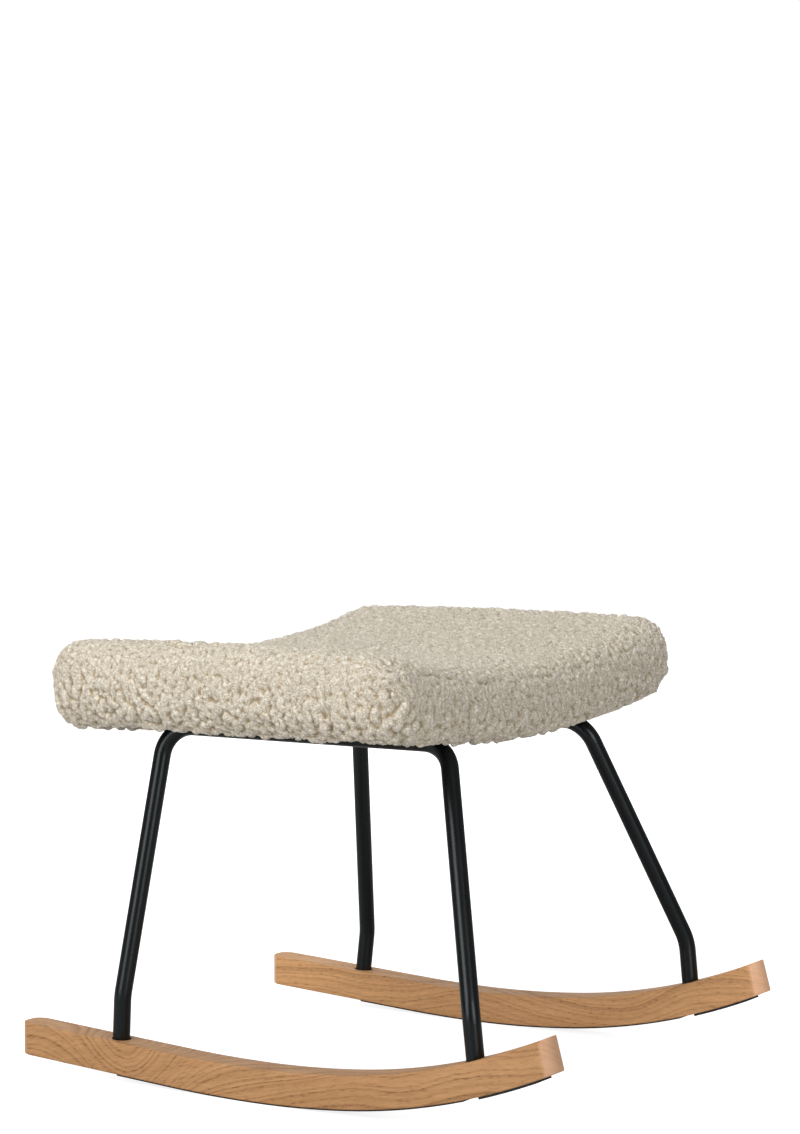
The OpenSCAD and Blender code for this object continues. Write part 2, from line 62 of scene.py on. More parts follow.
camera_data = bpy.data.cameras.new("camera")
camera_data.lens = LENS
camera_data.sensor_fit = "VERTICAL"
camera_data.sensor_height = SENSOR
camera = bpy.data.objects.new("camera", camera_data)
bpy.context.scene.collection.objects.link(camera)
camera.matrix_world = aimed(CAMERA_AT, CAMERA_AIM) @ Matrix.Rotation(CAMERA_ROLL, 4, "Z")
bpy.context.scene.camera = camera
bpy.context.scene.view_settings.view_transform = "Standard"


def new_mesh(name, points, faces):
    """A smooth shaded mesh object from points in metres and faces of any size."""
    mesh = bpy.data.meshes.new(name)
    mesh.from_pydata([tuple(p) for p in points], [], [tuple(f) for f in faces])
    mesh.validate()
    mesh.shade_smooth()
    piece = bpy.data.objects.new(name, mesh)
    bpy.context.scene.collection.objects.link(piece)
    return piece


def feed(tree, node, **sockets):
    """Sets sockets of a node, by name with _ for a space, or by number as in0. A
    value is a number, a vector, a colour or another node's output."""
    for name, value in sockets.items():
        by_number = name.startswith("in") and name[2:].isdigit()
        socket = node.inputs[int(name[2:]) if by_number else name.replace("_", " ")]
        if isinstance(value, bpy.types.NodeSocket):
            tree.links.new(value, socket)
        else:
            socket.default_value = value


def put(tree, kind, **values):
    """A node of that kind, with its sockets fed and its settings, which start with set_."""
    node = tree.nodes.new(kind)
    for name, value in values.items():
        if name.startswith("set_"):
            setattr(node, name[4:], value)
    feed(tree, node, **{name: value for name, value in values.items() if not name.startswith("set_")})
    return node


def sums(tree, operation, *terms):
    """The output of a Math node."""
    return put(tree, "ShaderNodeMath", set_operation=operation,
               **{f"in{i}": term for i, term in enumerate(terms)}).outputs[0]


def object_place(tree):
    return put(tree, "ShaderNodeTexCoord").outputs["Object"]


def joined_rings(turn, count, first=0):
    """Faces between rings of turn points that follow each other, count of them."""
    return [(first + k * turn + i, first + k * turn + (i + 1) % turn,
             first + (k + 1) * turn + (i + 1) % turn, first + (k + 1) * turn + i)
            for k in range(count - 1) for i in range(turn)]


def turned_over(faces):
    """The same faces seen from the other side, each from its own first corner."""
    return [(face[0], *face[:0:-1]) for face in faces]


def fan(hub, first, turn):
    """Faces from a hub to the ring of turn points that begins at first."""
    return [(hub, first + i, first + (i + 1) % turn) for i in range(turn)]


def whole_turn(steps):
    """The cosine and sine of each step of one turn."""
    return [(math.cos(2 * math.pi * i / steps), math.sin(2 * math.pi * i / steps)) for i in range(steps)]


def new_material(name, **sockets):
    """A material with one Principled node, its node tree and that node."""
    material = bpy.data.materials.new(name)
    material.use_nodes = True
    shader = material.node_tree.nodes["Principled BSDF"]
    feed(material.node_tree, shader, **sockets)
    return material, material.node_tree, shader


FLOOR_R, FLOOR_MIDDLE = 7.0, 0.25
FLOOR_RINGS, TURNS = 28, 96
GLOW_FROM, GLOW_TO = 0.8, 2.2
GLOW_NEAR, GLOW_FAR = 0.84, 1.0
WHITE = (1, 1, 1, 1)
radii = np.linspace(FLOOR_MIDDLE, FLOOR_R, FLOOR_RINGS)
floor_points = [(0, 0, 0)] + [(r * c, r * s, 0) for r in radii for c, s in whole_turn(TURNS)]
floor_faces = fan(0, 1, TURNS) + turned_over(joined_rings(TURNS, FLOOR_RINGS, 1))
floor = new_mesh("studio_floor", floor_points, floor_faces)
paper, tree, shader = new_material("studio paper", Base_Color=(0.55, 0.55, 0.55, 1), Roughness=0.8,
                                   Specular_IOR_Level=0.1, Emission_Color=WHITE)
off = put(tree, "ShaderNodeVectorMath", set_operation="LENGTH", in0=object_place(tree)).outputs["Value"]
glow = put(tree, "ShaderNodeMapRange", Value=off, From_Min=GLOW_FROM, From_Max=GLOW_TO,
           To_Min=GLOW_NEAR, To_Max=GLOW_FAR).outputs[0]
seen = put(tree, "ShaderNodeLightPath").outputs["Is Camera Ray"]
feed(tree, shader, Emission_Strength=sums(tree, "MULTIPLY", glow, seen))
floor.data.materials.append(paper)


def soft_lamp(name, at, aim, width, height, power, colour):
    data = bpy.data.lights.new(name, "AREA")
    data.shape = "RECTANGLE"
    data.size, data.size_y = width, height
    data.energy = power
    data.color = colour
    lamp = bpy.data.objects.new(name, data)
    lamp.matrix_world = aimed(at, aim)
    bpy.context.scene.collection.objects.link(lamp)


soft_lamp("right lamp", (-0.65, -1.9, 2.9), (0, 0, 0.25), 2.2, 2.0, 41, (1.0, 0.975, 0.94))
soft_lamp("low lamp", (-0.5, -2.4, 1.0), (0, 0, 0.3), 1.25, 1.75, 27, (1.0, 0.97, 0.94))
soft_lamp("front lamp", (2.7, -1.35, 0.98), (0, 0, 0.25), 1.4, 1.86, 33, (1.0, 0.97, 0.94))
soft_lamp("back lamp", (-1.7, 2.5, 1.5), (0, 0, 0.25), 2.0, 1.6, 27, (0.97, 0.985, 1.0))
soft_lamp("top lamp", (-0.2, 0.3, 3.0), (0, 0, 0.3), 2.6, 2.6, 19, (0.95, 0.98, 1.0))
world = bpy.data.worlds.new("studio world")
world.use_nodes = True
tree = world.node_tree
WORLD_LIGHT, WORLD_GLOW = 0.22, 0.8
seen = put(tree, "ShaderNodeLightPath").outputs["Is Camera Ray"]
feed(tree, tree.nodes["Background"], Color=WHITE,
     Strength=sums(tree, "MULTIPLY_ADD", seen, WORLD_GLOW, WORLD_LIGHT))
bpy.context.scene.world = world

# Rockers

# Each rocker is sawn from one solid oak plank and sanded: square in section with
# eased edges, its ends rounded as seen from above. A blind hole takes each tube
# from above, and a recess below it hides the head of the foot screw.
ROCKER_Y = 203.5
ROCKER_W = 30.0
ROCKER_H = 30.0
FRONT_REACH, REAR_REACH = 305.0, 267.0
MID_X = (FRONT_REACH - REAR_REACH) / 2
STRIP_T = 1.2
REAR_R, REAR_CURVE = 1465.0, 89.0
MIDDLE_R, MIDDLE_CURVE = 1018.0, 100.0
FRONT_R = 662.0
FRONT_CUT = math.radians(15)
TIP_R = 13.0
EASED = 1.5
rear_angle = math.asin(REAR_CURVE / REAR_R)
middle_angle = math.asin(MIDDLE_CURVE / MIDDLE_R)
front_centre_x = (MIDDLE_R - FRONT_R) * math.sin(middle_angle)
front_centre_z = STRIP_T + MIDDLE_R - (MIDDLE_R - FRONT_R) * math.cos(middle_angle)
rear_end_z = STRIP_T + REAR_R * (1 - math.cos(rear_angle))


def arc_at(x):
    """The centre and radius of the arc that the underside follows at x."""
    if x < 0:
        return 0.0, STRIP_T + REAR_R, REAR_R
    if x < MIDDLE_CURVE:
        return 0.0, STRIP_T + MIDDLE_R, MIDDLE_R
    return front_centre_x, front_centre_z, FRONT_R


def under(x):
    """Height of the underside of the rocker at a place x ahead of the standing point."""
    if x < -REAR_CURVE:
        return rear_end_z + (-x - REAR_CURVE) * math.tan(rear_angle)
    centre_x, centre_z, r = arc_at(x)
    return centre_z - math.sqrt(r ** 2 - (x - centre_x) ** 2)


def slope(x):
    if x < -REAR_CURVE:
        return -rear_angle
    centre_x, _, r = arc_at(x)
    return math.asin((x - centre_x) / r)


def above(x, up):
    """The place that lies the distance up from the underside, square to it."""
    return np.array((x - up * math.sin(slope(x)), under(x) + up * math.cos(slope(x))))


LINE_REAR, LINE_FRONT, LINE_STEP = -320.0, 360.0, 0.5
top_line = np.array([above(x, ROCKER_H) for x in np.arange(LINE_REAR, LINE_FRONT, LINE_STEP)])


def top_over(x, lean):
    """Where a line from the underside at x, leaning back by lean, meets the top."""
    foot_at = np.array((x, under(x)))
    off = (top_line[:, 0] - foot_at[0]) * math.cos(lean) + (top_line[:, 1] - foot_at[1]) * math.sin(lean)
    k = int(np.argmax(off > 0))
    share = off[k - 1] / (off[k - 1] - off[k])
    return top_line[k - 1] + share * (top_line[k] - top_line[k - 1])


def easing(t, radius):
    """How far a rounded edge has drawn in at the distance t from its end."""
    return 0.0 if t >= radius else radius - math.sqrt(max(radius ** 2 - (radius - t) ** 2, 0))


TIP_STEPS = [0, 0.15, 0.45, 0.9, 1.5, 2.2, 3.2, 4.4, 5.8, 7.4, 9.2, 11, 13]
EVEN_FROM, EVEN_STEP = 16, 4.0
FAR_OFF = 1e3


def near_end(reach):
    """Distances from a tip, dense where it is rounded."""
    return TIP_STEPS + list(np.arange(EVEN_FROM, reach, EVEN_STEP))


stations = [(-REAR_REACH + t, t, FAR_OFF) for t in near_end(REAR_REACH)]
stations += [(FRONT_REACH - t, FAR_OFF, t) for t in reversed(near_end(FRONT_REACH))]
LEAN_REACH = 60.0
ROUND_STEPS = 5
EASED_SHARE = 0.6


def capped_rings(turn, count):
    """Faces between rings, with a cap at each end."""
    last = (count - 1) * turn
    return joined_rings(turn, count) + [tuple(reversed(range(turn))), tuple(range(last, last + turn))]


def rocker_body(name, side):
    rows = []
    for x, from_rear, from_front in stations:
        lean = slope(x)
        if from_front < LEAN_REACH:
            lean += (FRONT_CUT - lean) * (1 - from_front / LEAN_REACH)
        if from_rear < LEAN_REACH:
            lean *= from_rear / LEAN_REACH
        low, high = np.array((x, under(x))), top_over(x, lean)
        nearest = min(from_rear, from_front)
        half_w = ROCKER_W / 2 - easing(nearest, TIP_R)
        trim = easing(nearest, EASED)
        up = (high - low) / np.linalg.norm(high - low)
        low, high = low + up * trim, high - up * trim
        r = min(EASED, half_w * EASED_SHARE)
        row = []
        for sy, end, inward in ((-1, low, up), (1, low, up), (1, high, -up), (-1, high, -up)):
            for i in range(ROUND_STEPS + 1):
                a = math.pi / 2 * i / ROUND_STEPS
                out, down = math.cos(a), math.sin(a)
                if (sy > 0) == (inward is up):
                    out, down = down, out
                across, at = half_w - r + r * out, end + inward * (r - r * down)
                row.append((at[0] - MID_X, side * ROCKER_Y + sy * across, at[1]))
        rows.append(row)
    n = len(rows[0])
    return new_mesh(name, [Vector(p) * MM for row in rows for p in row], capped_rings(n, len(rows)))


# The tubes' lines are settled here, because the holes follow them
REAR_FOOT_X, FRONT_FOOT_X = -157.0, 222.0
REAR_KINK, FRONT_KINK = (-153.5, 205.5), (218.0, 204.0)
KINK_RISE = 40.0
SOCKET_DEPTH, SOCKET_CLEAR = 16.0, 1.2
TUBE_R = 8.0
RECESS_R, RECESS_DEPTH = 6.5, 7.0
CUT_OVERRUN = 14.0


def legs(side):
    """For the rear and the front leg: where its line meets the top of the rocker, its
    direction there, and the bend above."""
    found = []
    for foot_x, (x, y) in ((REAR_FOOT_X, REAR_KINK), (FRONT_FOOT_X, FRONT_KINK)):
        nearest = int(np.argmin(abs(top_line[:, 0] - foot_x)))
        at = Vector((foot_x, side * ROCKER_Y, top_line[nearest, 1]))
        kink = Vector((x, side * y, at.z + KINK_RISE))
        found.append((at, (kink - at).normalized(), kink))
    return found


def placed(p):
    """Millimetres from the standing point to metres from the middle."""
    return Vector((p[0] - MID_X, p[1], p[2])) * MM


HOLE_SIDES = 48


def cylinder_between(name, start, end, radius):
    axis = (end - start).normalized()
    across = axis.orthogonal().normalized()
    other = axis.cross(across)
    ring = [radius * (c * across + s * other) for c, s in whole_turn(HOLE_SIDES)]
    return new_mesh(name, [end_at + r for end_at in (start, end) for r in ring], capped_rings(HOLE_SIDES, 2))


def cut_away(piece, cutters):
    """Cuts the cutters out of the piece and removes them."""
    for cutter in cutters:
        cut = piece.modifiers.new("cut", "BOOLEAN")
        cut.operation = "DIFFERENCE"
        cut.solver = "EXACT"
        cut.object = cutter
    bpy.context.view_layer.update()
    graph = bpy.context.evaluated_depsgraph_get()
    mesh = bpy.data.meshes.new_from_object(piece.evaluated_get(graph))
    piece.modifiers.clear()
    piece.data = mesh
    for cutter in cutters:
        bpy.data.objects.remove(cutter)


def blended(tree, amount, first, second):
    """The output of a colour Mix node."""
    return put(tree, "ShaderNodeMix", set_data_type="RGBA", in0=amount, in6=first, in7=second).outputs[2]


def tinted(tree, under, mask, share, colour):
    """A colour with another laid over it where the mask says, by a share."""
    return blended(tree, sums(tree, "MULTIPLY", mask, share), under, colour)


def stops(tree, value, *places):
    """The colour output of a Color Ramp through places of (position, colour)."""
    node = put(tree, "ShaderNodeValToRGB", Fac=value)
    ramp = node.color_ramp
    while len(ramp.elements) < len(places):
        ramp.elements.new(0.5)
    for element, (position, colour) in zip(ramp.elements, places):
        element.position = position
        element.color = colour if hasattr(colour, "__len__") else (colour, colour, colour, 1)
    return node.outputs[0]


def new_group(name, inputs, outputs):
    """A node group with sockets of the given kinds, its inputs and its output node."""
    tree = bpy.data.node_groups.new(name, "ShaderNodeTree")
    for way, sockets in (("INPUT", inputs), ("OUTPUT", outputs)):
        for socket, kind in sockets.items():
            tree.interface.new_socket(name=socket.replace("_", " "), in_out=way,
                                      socket_type=f"NodeSocket{kind}")
    return tree, tree.nodes.new("NodeGroupInput").outputs, tree.nodes.new("NodeGroupOutput")


def clouds(tree, place, scale, detail, **settings):
    """The value of a Noise node."""
    noise_node = put(tree, "ShaderNodeTexNoise", Vector=place, Scale=scale, Detail=detail, **settings)
    return noise_node.outputs["Fac"]


def drawn_out(tree, place, scale, detail, **settings):
    """Noise that is stretched along the grain."""
    stretched = put(tree, "ShaderNodeMapping", Vector=place, Scale=scale).outputs[0]
    return clouds(tree, stretched, 1.0, detail, **settings)


def grain_group():
    """Oak sawn along the grain: growth lines that wander through the plank, fibres
    and open pores along the grain, and paler end grain where a face looks along X."""
    tree, given, result = new_group(
        "oak grain", dict(Place="Vector", Tilt="Float", Ring_Width="Float", Wander="Float", Start="Float",
                          Swirl_At="Vector", Swirl_Size="Float", Swirl_Height="Float", Tone="Float"),
        dict(Color="Color", Height="Float", Roughness="Float"))
    place = put(tree, "ShaderNodeVectorRotate", set_rotation_type="Y_AXIS", Vector=given["Place"],
                Angle=given["Tilt"]).outputs[0]

    def streaks(scale, detail, **settings):
        return drawn_out(tree, place, scale, detail, **settings)

    split = put(tree, "ShaderNodeSeparateXYZ", Vector=place).outputs
    bend = sums(tree, "SUBTRACT", streaks((8.0, 13.0, 12.0), 0.5), 0.5)
    ripple = sums(tree, "SUBTRACT", streaks((30.0, 60.0, 60.0), 2.0), 0.5)
    field = sums(tree, "MULTIPLY_ADD", split[1], 0.4, split[2])
    field = sums(tree, "MULTIPLY_ADD", bend, given["Wander"], field)
    field = sums(tree, "MULTIPLY_ADD", ripple, 0.004, field)
    off = put(tree, "ShaderNodeVectorMath", set_operation="DISTANCE", in0=given["Place"],
              in1=given["Swirl At"]).outputs["Value"]
    off = sums(tree, "DIVIDE", off, given["Swirl Size"])
    swirl = sums(tree, "EXPONENT", sums(tree, "MULTIPLY", sums(tree, "MULTIPLY", off, off), -1.0))
    field = sums(tree, "MULTIPLY_ADD", swirl, given["Swirl Height"], field)
    count = sums(tree, "ADD", sums(tree, "DIVIDE", field, given["Ring Width"]), given["Start"])
    uneven = put(tree, "ShaderNodeTexNoise", set_noise_dimensions="1D", W=count, Scale=0.45, Detail=1.0)
    count = sums(tree, "MULTIPLY_ADD", uneven.outputs["Fac"], 2.6, count)
    phase = sums(tree, "FRACT", count)
    ring = stops(tree, phase, (0.0, 0.5), (0.12, 0.12), (0.3, 0.0), (0.65, 0.35), (0.9, 1.0), (1.0, 0.6))
    each = put(tree, "ShaderNodeTexWhiteNoise", set_noise_dimensions="1D",
               W=sums(tree, "FLOOR", count)).outputs["Value"]
    ring = sums(tree, "MULTIPLY", ring, sums(tree, "MULTIPLY_ADD", each, 0.65, 0.35))
    fibre = stops(tree, streaks((60.0, 950.0, 950.0), 3.0, Roughness=0.6), (0.36, 0.0), (0.66, 1.0))
    band = stops(tree, streaks((8.0, 90.0, 130.0), 3.0), (0.36, 0.0), (0.64, 1.0))
    pore = stops(tree, streaks((150.0, 950.0, 950.0), 1.0), (0.55, 0.0), (0.66, 1.0))
    pore = sums(tree, "MULTIPLY", pore, sums(tree, "MULTIPLY_ADD", ring, 0.9, 0.3))
    cloud = stops(tree, streaks((9.0, 25.0, 25.0), 1.0), (0.35, 0.0), (0.65, 1.0))
    wood = blended(tree, band, (0.68, 0.39, 0.185, 1), (0.59, 0.325, 0.147, 1))
    wood = tinted(tree, wood, cloud, 0.35, (0.68, 0.365, 0.185, 1))
    wood = tinted(tree, wood, ring, 0.75, (0.33, 0.165, 0.07, 1))
    wood = tinted(tree, wood, fibre, 0.38, (0.42, 0.22, 0.1, 1))
    wood = tinted(tree, wood, pore, 0.6, (0.17, 0.085, 0.036, 1))
    facing = put(tree, "ShaderNodeSeparateXYZ",
                 Vector=put(tree, "ShaderNodeTexCoord").outputs["Normal"]).outputs[0]
    end = stops(tree, sums(tree, "ABSOLUTE", facing), (0.0, 0.0), (0.3, 0.0), (0.45, 1.0))
    speck = stops(tree, streaks((90.0, 1300.0, 1300.0), 2.0), (0.5, 0.0), (0.7, 1.0))
    cut_wood = tinted(tree, (0.74, 0.45, 0.28, 1), ring, 0.45, (0.60, 0.32, 0.18, 1))
    cut_wood = tinted(tree, cut_wood, speck, 0.35, (0.42, 0.23, 0.13, 1))
    # Scales the colour by the plank's last input, which paints light onto one plank and shade onto the other
    toned = put(tree, "ShaderNodeVectorMath", set_operation="SCALE",
                in0=blended(tree, end, wood, cut_wood), Scale=given["Tone"]).outputs[0]
    height = sums(tree, "SUBTRACT", sums(tree, "MULTIPLY", fibre, -0.3),
                  sums(tree, "ADD", pore, sums(tree, "MULTIPLY", ring, 0.25)))
    feed(tree, result, Color=toned, Height=height, Roughness=sums(tree, "MULTIPLY_ADD", ring, 0.1, 0.6))
    return tree


oak_grain = grain_group()


def roughen(tree, shader, strength, depth, height, **settings):
    """Bumps the shader by a height."""
    bump = put(tree, "ShaderNodeBump", Strength=strength, Distance=depth, Height=height, **settings)
    feed(tree, shader, Normal=bump.outputs[0])


def oak_material(name, **values):
    material, tree, shader = new_material(name, Roughness=0.5, Specular_IOR_Level=0.14)
    grain = put(tree, "ShaderNodeGroup", set_node_tree=oak_grain, Place=object_place(tree), **values).outputs
    feed(tree, shader, Base_Color=grain["Color"], Roughness=grain["Roughness"])
    roughen(tree, shader, 0.4, 0.0003, grain["Height"])
    return material


# The last value given for each plank scales its colour: painted light on the left plank, which stands in the
# seat's shade on the far side, and painted shade on the right plank, which the lamps light fully
oak = {
    1: oak_material("oak, left plank", Tilt=math.radians(4), Ring_Width=0.006, Wander=0.035, Start=3.3,
                    Swirl_At=(0.1, 0.19, 0.05), Swirl_Size=0.09, Swirl_Height=0.035, Tone=1.17),
    -1: oak_material("oak, right plank", Tilt=math.radians(13), Ring_Width=0.0072, Wander=0.05, Start=0.4,
                     Swirl_At=(-0.16, -0.215, 0.025), Swirl_Size=0.065, Swirl_Height=0.085, Tone=0.86)}
for side, word in ((1, "left"), (-1, "right")):
    rocker = rocker_body(f"{word}_oak_rocker", side)
    cutters = []
    for at, stub, _ in legs(side):
        cutters.append(cylinder_between("hole", placed(at - SOCKET_DEPTH * stub),
                                        placed(at + CUT_OVERRUN * stub), (TUBE_R + SOCKET_CLEAR) * MM))
        cutters.append(cylinder_between("recess", placed(at - (ROCKER_H + CUT_OVERRUN) * stub),
                                        placed(at - (ROCKER_H - RECESS_DEPTH) * stub), RECESS_R * MM))
    cut_away(rocker, cutters)
    rocker.data.set_sharp_from_angle(angle=math.radians(40))
    rocker.data.materials.clear()
    rocker.data.materials.append(oak[side])
    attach(rocker, "root")
    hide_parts(f"{word}_rocker")

# Grip strips

# Thin dark rubber strips glued under each rocker: a long one between the screw
# recesses, and a short thicker one near the front tip that stops the rocking.


def repaint(material, *nodes):
    """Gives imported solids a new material."""
    for node in nodes:
        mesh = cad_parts[node].data
        mesh.materials.clear()
        mesh.materials.append(material)


rubber, tree, shader = new_material("black grip rubber", Roughness=0.8, Specular_IOR_Level=0.3)
place = object_place(tree)
ribs = put(tree, "ShaderNodeTexWave", set_wave_type="BANDS", set_bands_direction="Y", Vector=place,
           Scale=160.0, Distortion=0.0)
dust = clouds(tree, place, 180.0, 4.0)
feed(tree, shader, Base_Color=blended(tree, stops(tree, dust, (0.45, 0.0), (0.8, 0.6)),
                                      (0.018, 0.018, 0.019, 1), (0.05, 0.048, 0.046, 1)))
roughen(tree, shader, 0.6, 0.0004, sums(tree, "MULTIPLY_ADD", dust, 0.4, ribs.outputs["Fac"]))
repaint(rubber, "left_long_strip", "right_long_strip", "left_stop_strip", "right_stop_strip")

# Leg frames

# One steel tube a side, bent into a foot, a leg, the rail under the seat, the
# other leg and the other foot, and powder coated satin black.
SEAT_RISE = 322.0
SEAT_FALL = math.radians(0.63)
DIP_R = 1333.0
CLOTH_T = 0.6
RAIL_DROP = CLOTH_T + TUBE_R
WALL_T = 1.5


def from_seat(x, y, z):
    """From the seat's own frame, which falls a little towards the front. Numbers or arrays."""
    return (x * math.cos(SEAT_FALL) + z * math.sin(SEAT_FALL), y,
            SEAT_RISE - x * math.sin(SEAT_FALL) + z * math.cos(SEAT_FALL))


def rail_corner(x, y, side):
    """A place on the middle line of a rail, which follows the board's curve below it."""
    return Vector(from_seat(x, side * y, DIP_R - math.sqrt((DIP_R + RAIL_DROP) ** 2 - y * y)))


BEND_PARTS = 16
LONGEST_STEP = 12.0


def rounded_path(corners, radii):
    """Points along a line whose corners are bent to the given radii, with the
    direction at each."""
    path = [(corners[0], (corners[1] - corners[0]).normalized())]
    for a, b, c, r in zip(corners, corners[1:], corners[2:], radii):
        ahead, onward = (b - a).normalized(), (c - b).normalized()
        turn = ahead.angle(onward)
        across = (onward - ahead * math.cos(turn)).normalized()
        centre = b - ahead * r * math.tan(turn / 2) + across * r
        for i in range(BEND_PARTS + 1):
            t = turn * i / BEND_PARTS
            path.append((centre - across * r * math.cos(t) + ahead * r * math.sin(t),
                         ahead * math.cos(t) + across * math.sin(t)))
    path.append((corners[-1], (corners[-1] - corners[-2]).normalized()))
    full = []
    for (p, d), (q, e) in zip(path, path[1:]):
        parts = max(1, int((q - p).length / LONGEST_STEP))
        full += [(p.lerp(q, i / parts), d.lerp(e, i / parts).normalized()) for i in range(parts)]
    return full + [path[-1]]


TUBE_SIDES = 44


def hollow_tube(name, path):
    """A tube with an outer and an inner wall along a path, in millimetres."""
    across = path[0][1].orthogonal().normalized()
    rings = []
    for at, ahead in path:
        across = (across - ahead * across.dot(ahead)).normalized()
        other = ahead.cross(across)
        rings.append([(at, across * c + other * s) for c, s in whole_turn(TUBE_SIDES)])
    points = [placed(at + out * r) for r in (TUBE_R, TUBE_R - WALL_T) for ring in rings for at, out in ring]
    n, k = TUBE_SIDES, len(rings)
    inner = n * k
    faces = joined_rings(n, k) + turned_over(joined_rings(n, k, inner))
    last = (k - 1) * n
    for i in range(n):
        b = (i + 1) % n
        faces.append((i, inner + i, inner + b, b))
        faces.append((last + i, last + b, inner + last + b, inner + last + i))
    piece = new_mesh(name, points, faces)
    piece.data.set_sharp_from_angle(angle=math.radians(50))
    return piece


def coat_group():
    """Powder coat: a fine orange peel, faint cloudiness and a little dust."""
    tree, given, result = new_group("powder coat", dict(Peel_Size="Float", Cloud="Float"),
                                    dict(Roughness="Float", Height="Float", Mask="Float"))
    place = object_place(tree)
    cloud = clouds(tree, place, 14.0, 3.0)
    feed(tree, result, Roughness=sums(tree, "MULTIPLY_ADD", cloud, given["Cloud"], 0.22),
         Height=clouds(tree, place, given["Peel Size"], 2.0),
         Mask=stops(tree, cloud, (0.4, 0.0), (0.75, 1.0)))
    return tree


powder_coat = coat_group()


def coated_material(name, colour, lighter, peel, cloud):
    # The bluish specular tint is painted light: it gives the coat's reflections a cool cast that stands in
    # for the colour of the light
    material, tree, shader = new_material(name, Specular_IOR_Level=0.38, Specular_Tint=(0.84, 0.95, 1.0, 1))
    coat = put(tree, "ShaderNodeGroup", set_node_tree=powder_coat, Peel_Size=peel, Cloud=cloud).outputs
    feed(tree, shader, Base_Color=blended(tree, coat["Mask"], colour, lighter), Roughness=coat["Roughness"])
    roughen(tree, shader, 0.18, 0.0002, coat["Height"])
    return material


satin_black = coated_material("satin black powder coat", (0.0022, 0.0023, 0.0026, 1),
                              (0.004, 0.0042, 0.0048, 1), 1300.0, 0.1)
# Where the rails bend into the legs, and the radii of the lower and upper bends
REAR_RAIL, FRONT_RAIL = (-134.0, 161.0), (148.0, 125.0)
KINK_R, RAIL_BEND_R = 50.0, 30.0
for side, word in ((1, "left"), (-1, "right")):
    (rear_at, rear_up, rear_kink), (front_at, front_up, front_kink) = legs(side)
    line = [rear_at - SOCKET_DEPTH * rear_up, rear_kink, rail_corner(*REAR_RAIL, side),
            rail_corner(*FRONT_RAIL, side), front_kink, front_at - SOCKET_DEPTH * front_up]
    tube = hollow_tube(f"{word}_bent_tube", rounded_path(line, (KINK_R, RAIL_BEND_R, RAIL_BEND_R, KINK_R)))
    tube.data.materials.append(satin_black)
    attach(tube, "root")
    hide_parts(f"{word}_leg_frame")

# Cross bars and fixings

# Flat steel bars, coated like the tubes, join the rails under the board. Zinc
# plated plugs, screws, washers, tee nuts and staples, and black seat bolts.
bar_black = coated_material("black powder coat of the bars", (0.012, 0.012, 0.0125, 1),
                            (0.018, 0.018, 0.019, 1), 900.0, 0.2)
repaint(bar_black, "front_cross_bar", "rear_cross_bar")
bolt_black = coated_material("black oxide", (0.02, 0.02, 0.022, 1), (0.045, 0.043, 0.042, 1), 2400.0, 0.3)
repaint(bolt_black, "seat_bolts", "seat_bolt_washers")
zinc, tree, shader = new_material("zinc plate", Metallic=1.0)
place = object_place(tree)
bloom = clouds(tree, place, 260.0, 5.0)
feed(tree, shader, Base_Color=blended(tree, stops(tree, bloom, (0.4, 0.0), (0.7, 1.0)),
                                      (0.58, 0.58, 0.56, 1), (0.44, 0.44, 0.42, 1)),
     Roughness=sums(tree, "MULTIPLY_ADD", bloom, 0.3, 0.22))
roughen(tree, shader, 0.2, 0.0001, clouds(tree, place, 2600.0, 2.0))
repaint(zinc, "tube_plugs", "foot_screws", "foot_washers", "seat_tee_nuts", "dust_cover_staples")

# Seat board

# The board is pressed plywood, bent to one radius from side to side. Its plies
# show at the edge as pale and dark layers.
BOARD_T = 12.0
TWO_PLIES = 2.4
plywood, tree, shader = new_material("pressed plywood", Roughness=0.6)
place = object_place(tree)
split = put(tree, "ShaderNodeSeparateXYZ", Vector=place).outputs
sunk = sums(tree, "SUBTRACT", split[2], (SEAT_RISE + DIP_R) * MM)
reach = sums(tree, "SQRT", sums(tree, "ADD", sums(tree, "MULTIPLY", split[1], split[1]),
                                sums(tree, "MULTIPLY", sunk, sunk)))
from_under = sums(tree, "SUBTRACT", DIP_R * MM, reach)
tilted = sums(tree, "MULTIPLY_ADD", split[0], -math.sin(SEAT_FALL), from_under)
ply = sums(tree, "FRACT", sums(tree, "DIVIDE", tilted, TWO_PLIES * MM))
fibre = drawn_out(tree, place, (12.0, 300.0, 300.0), 4.0)
veneer = blended(tree, fibre, (0.62, 0.44, 0.26, 1), (0.48, 0.31, 0.17, 1))
feed(tree, shader, Base_Color=blended(tree, stops(tree, ply, (0.0, 0.0), (0.45, 0.0), (0.55, 0.7)), veneer,
                                      (0.3, 0.17, 0.08, 1)))
roughen(tree, shader, 0.3, 0.0003, fibre)
repaint(plywood, "seat_board")

# Foam pad

# A block of cut foam, shaped like the seat and a little smaller than its cover,
# glued to the top of the board. Its open cells show at close range.
SEAT_L, SEAT_W = 384.0, 530.0
SEAT_BACK = 12.0
PAD_RISE, PAD_CROWN, PAD_LIFT, PAD_LEAN = 66.0, 4.0, 3.0, 5.0
DRAW_IN = 3.0
CORNER_R, TOP_R = 40.0, 32.0
COVER_T = 8.0
PILE_LEAN = 4.0
CLEAR = 0.3
HALF_L, HALF_W = SEAT_L / 2, SEAT_W / 2
ON_TOP, AT_BOARD = (1, 1, 0), (0, 0, 0)


def settled(x, y, z):
    """Places in metres, from arrays of places in the seat's frame round its middle."""
    ahead, aside, height = from_seat(x - SEAT_BACK, y, z)
    return np.column_stack((ahead - MID_X, aside, height)) * MM


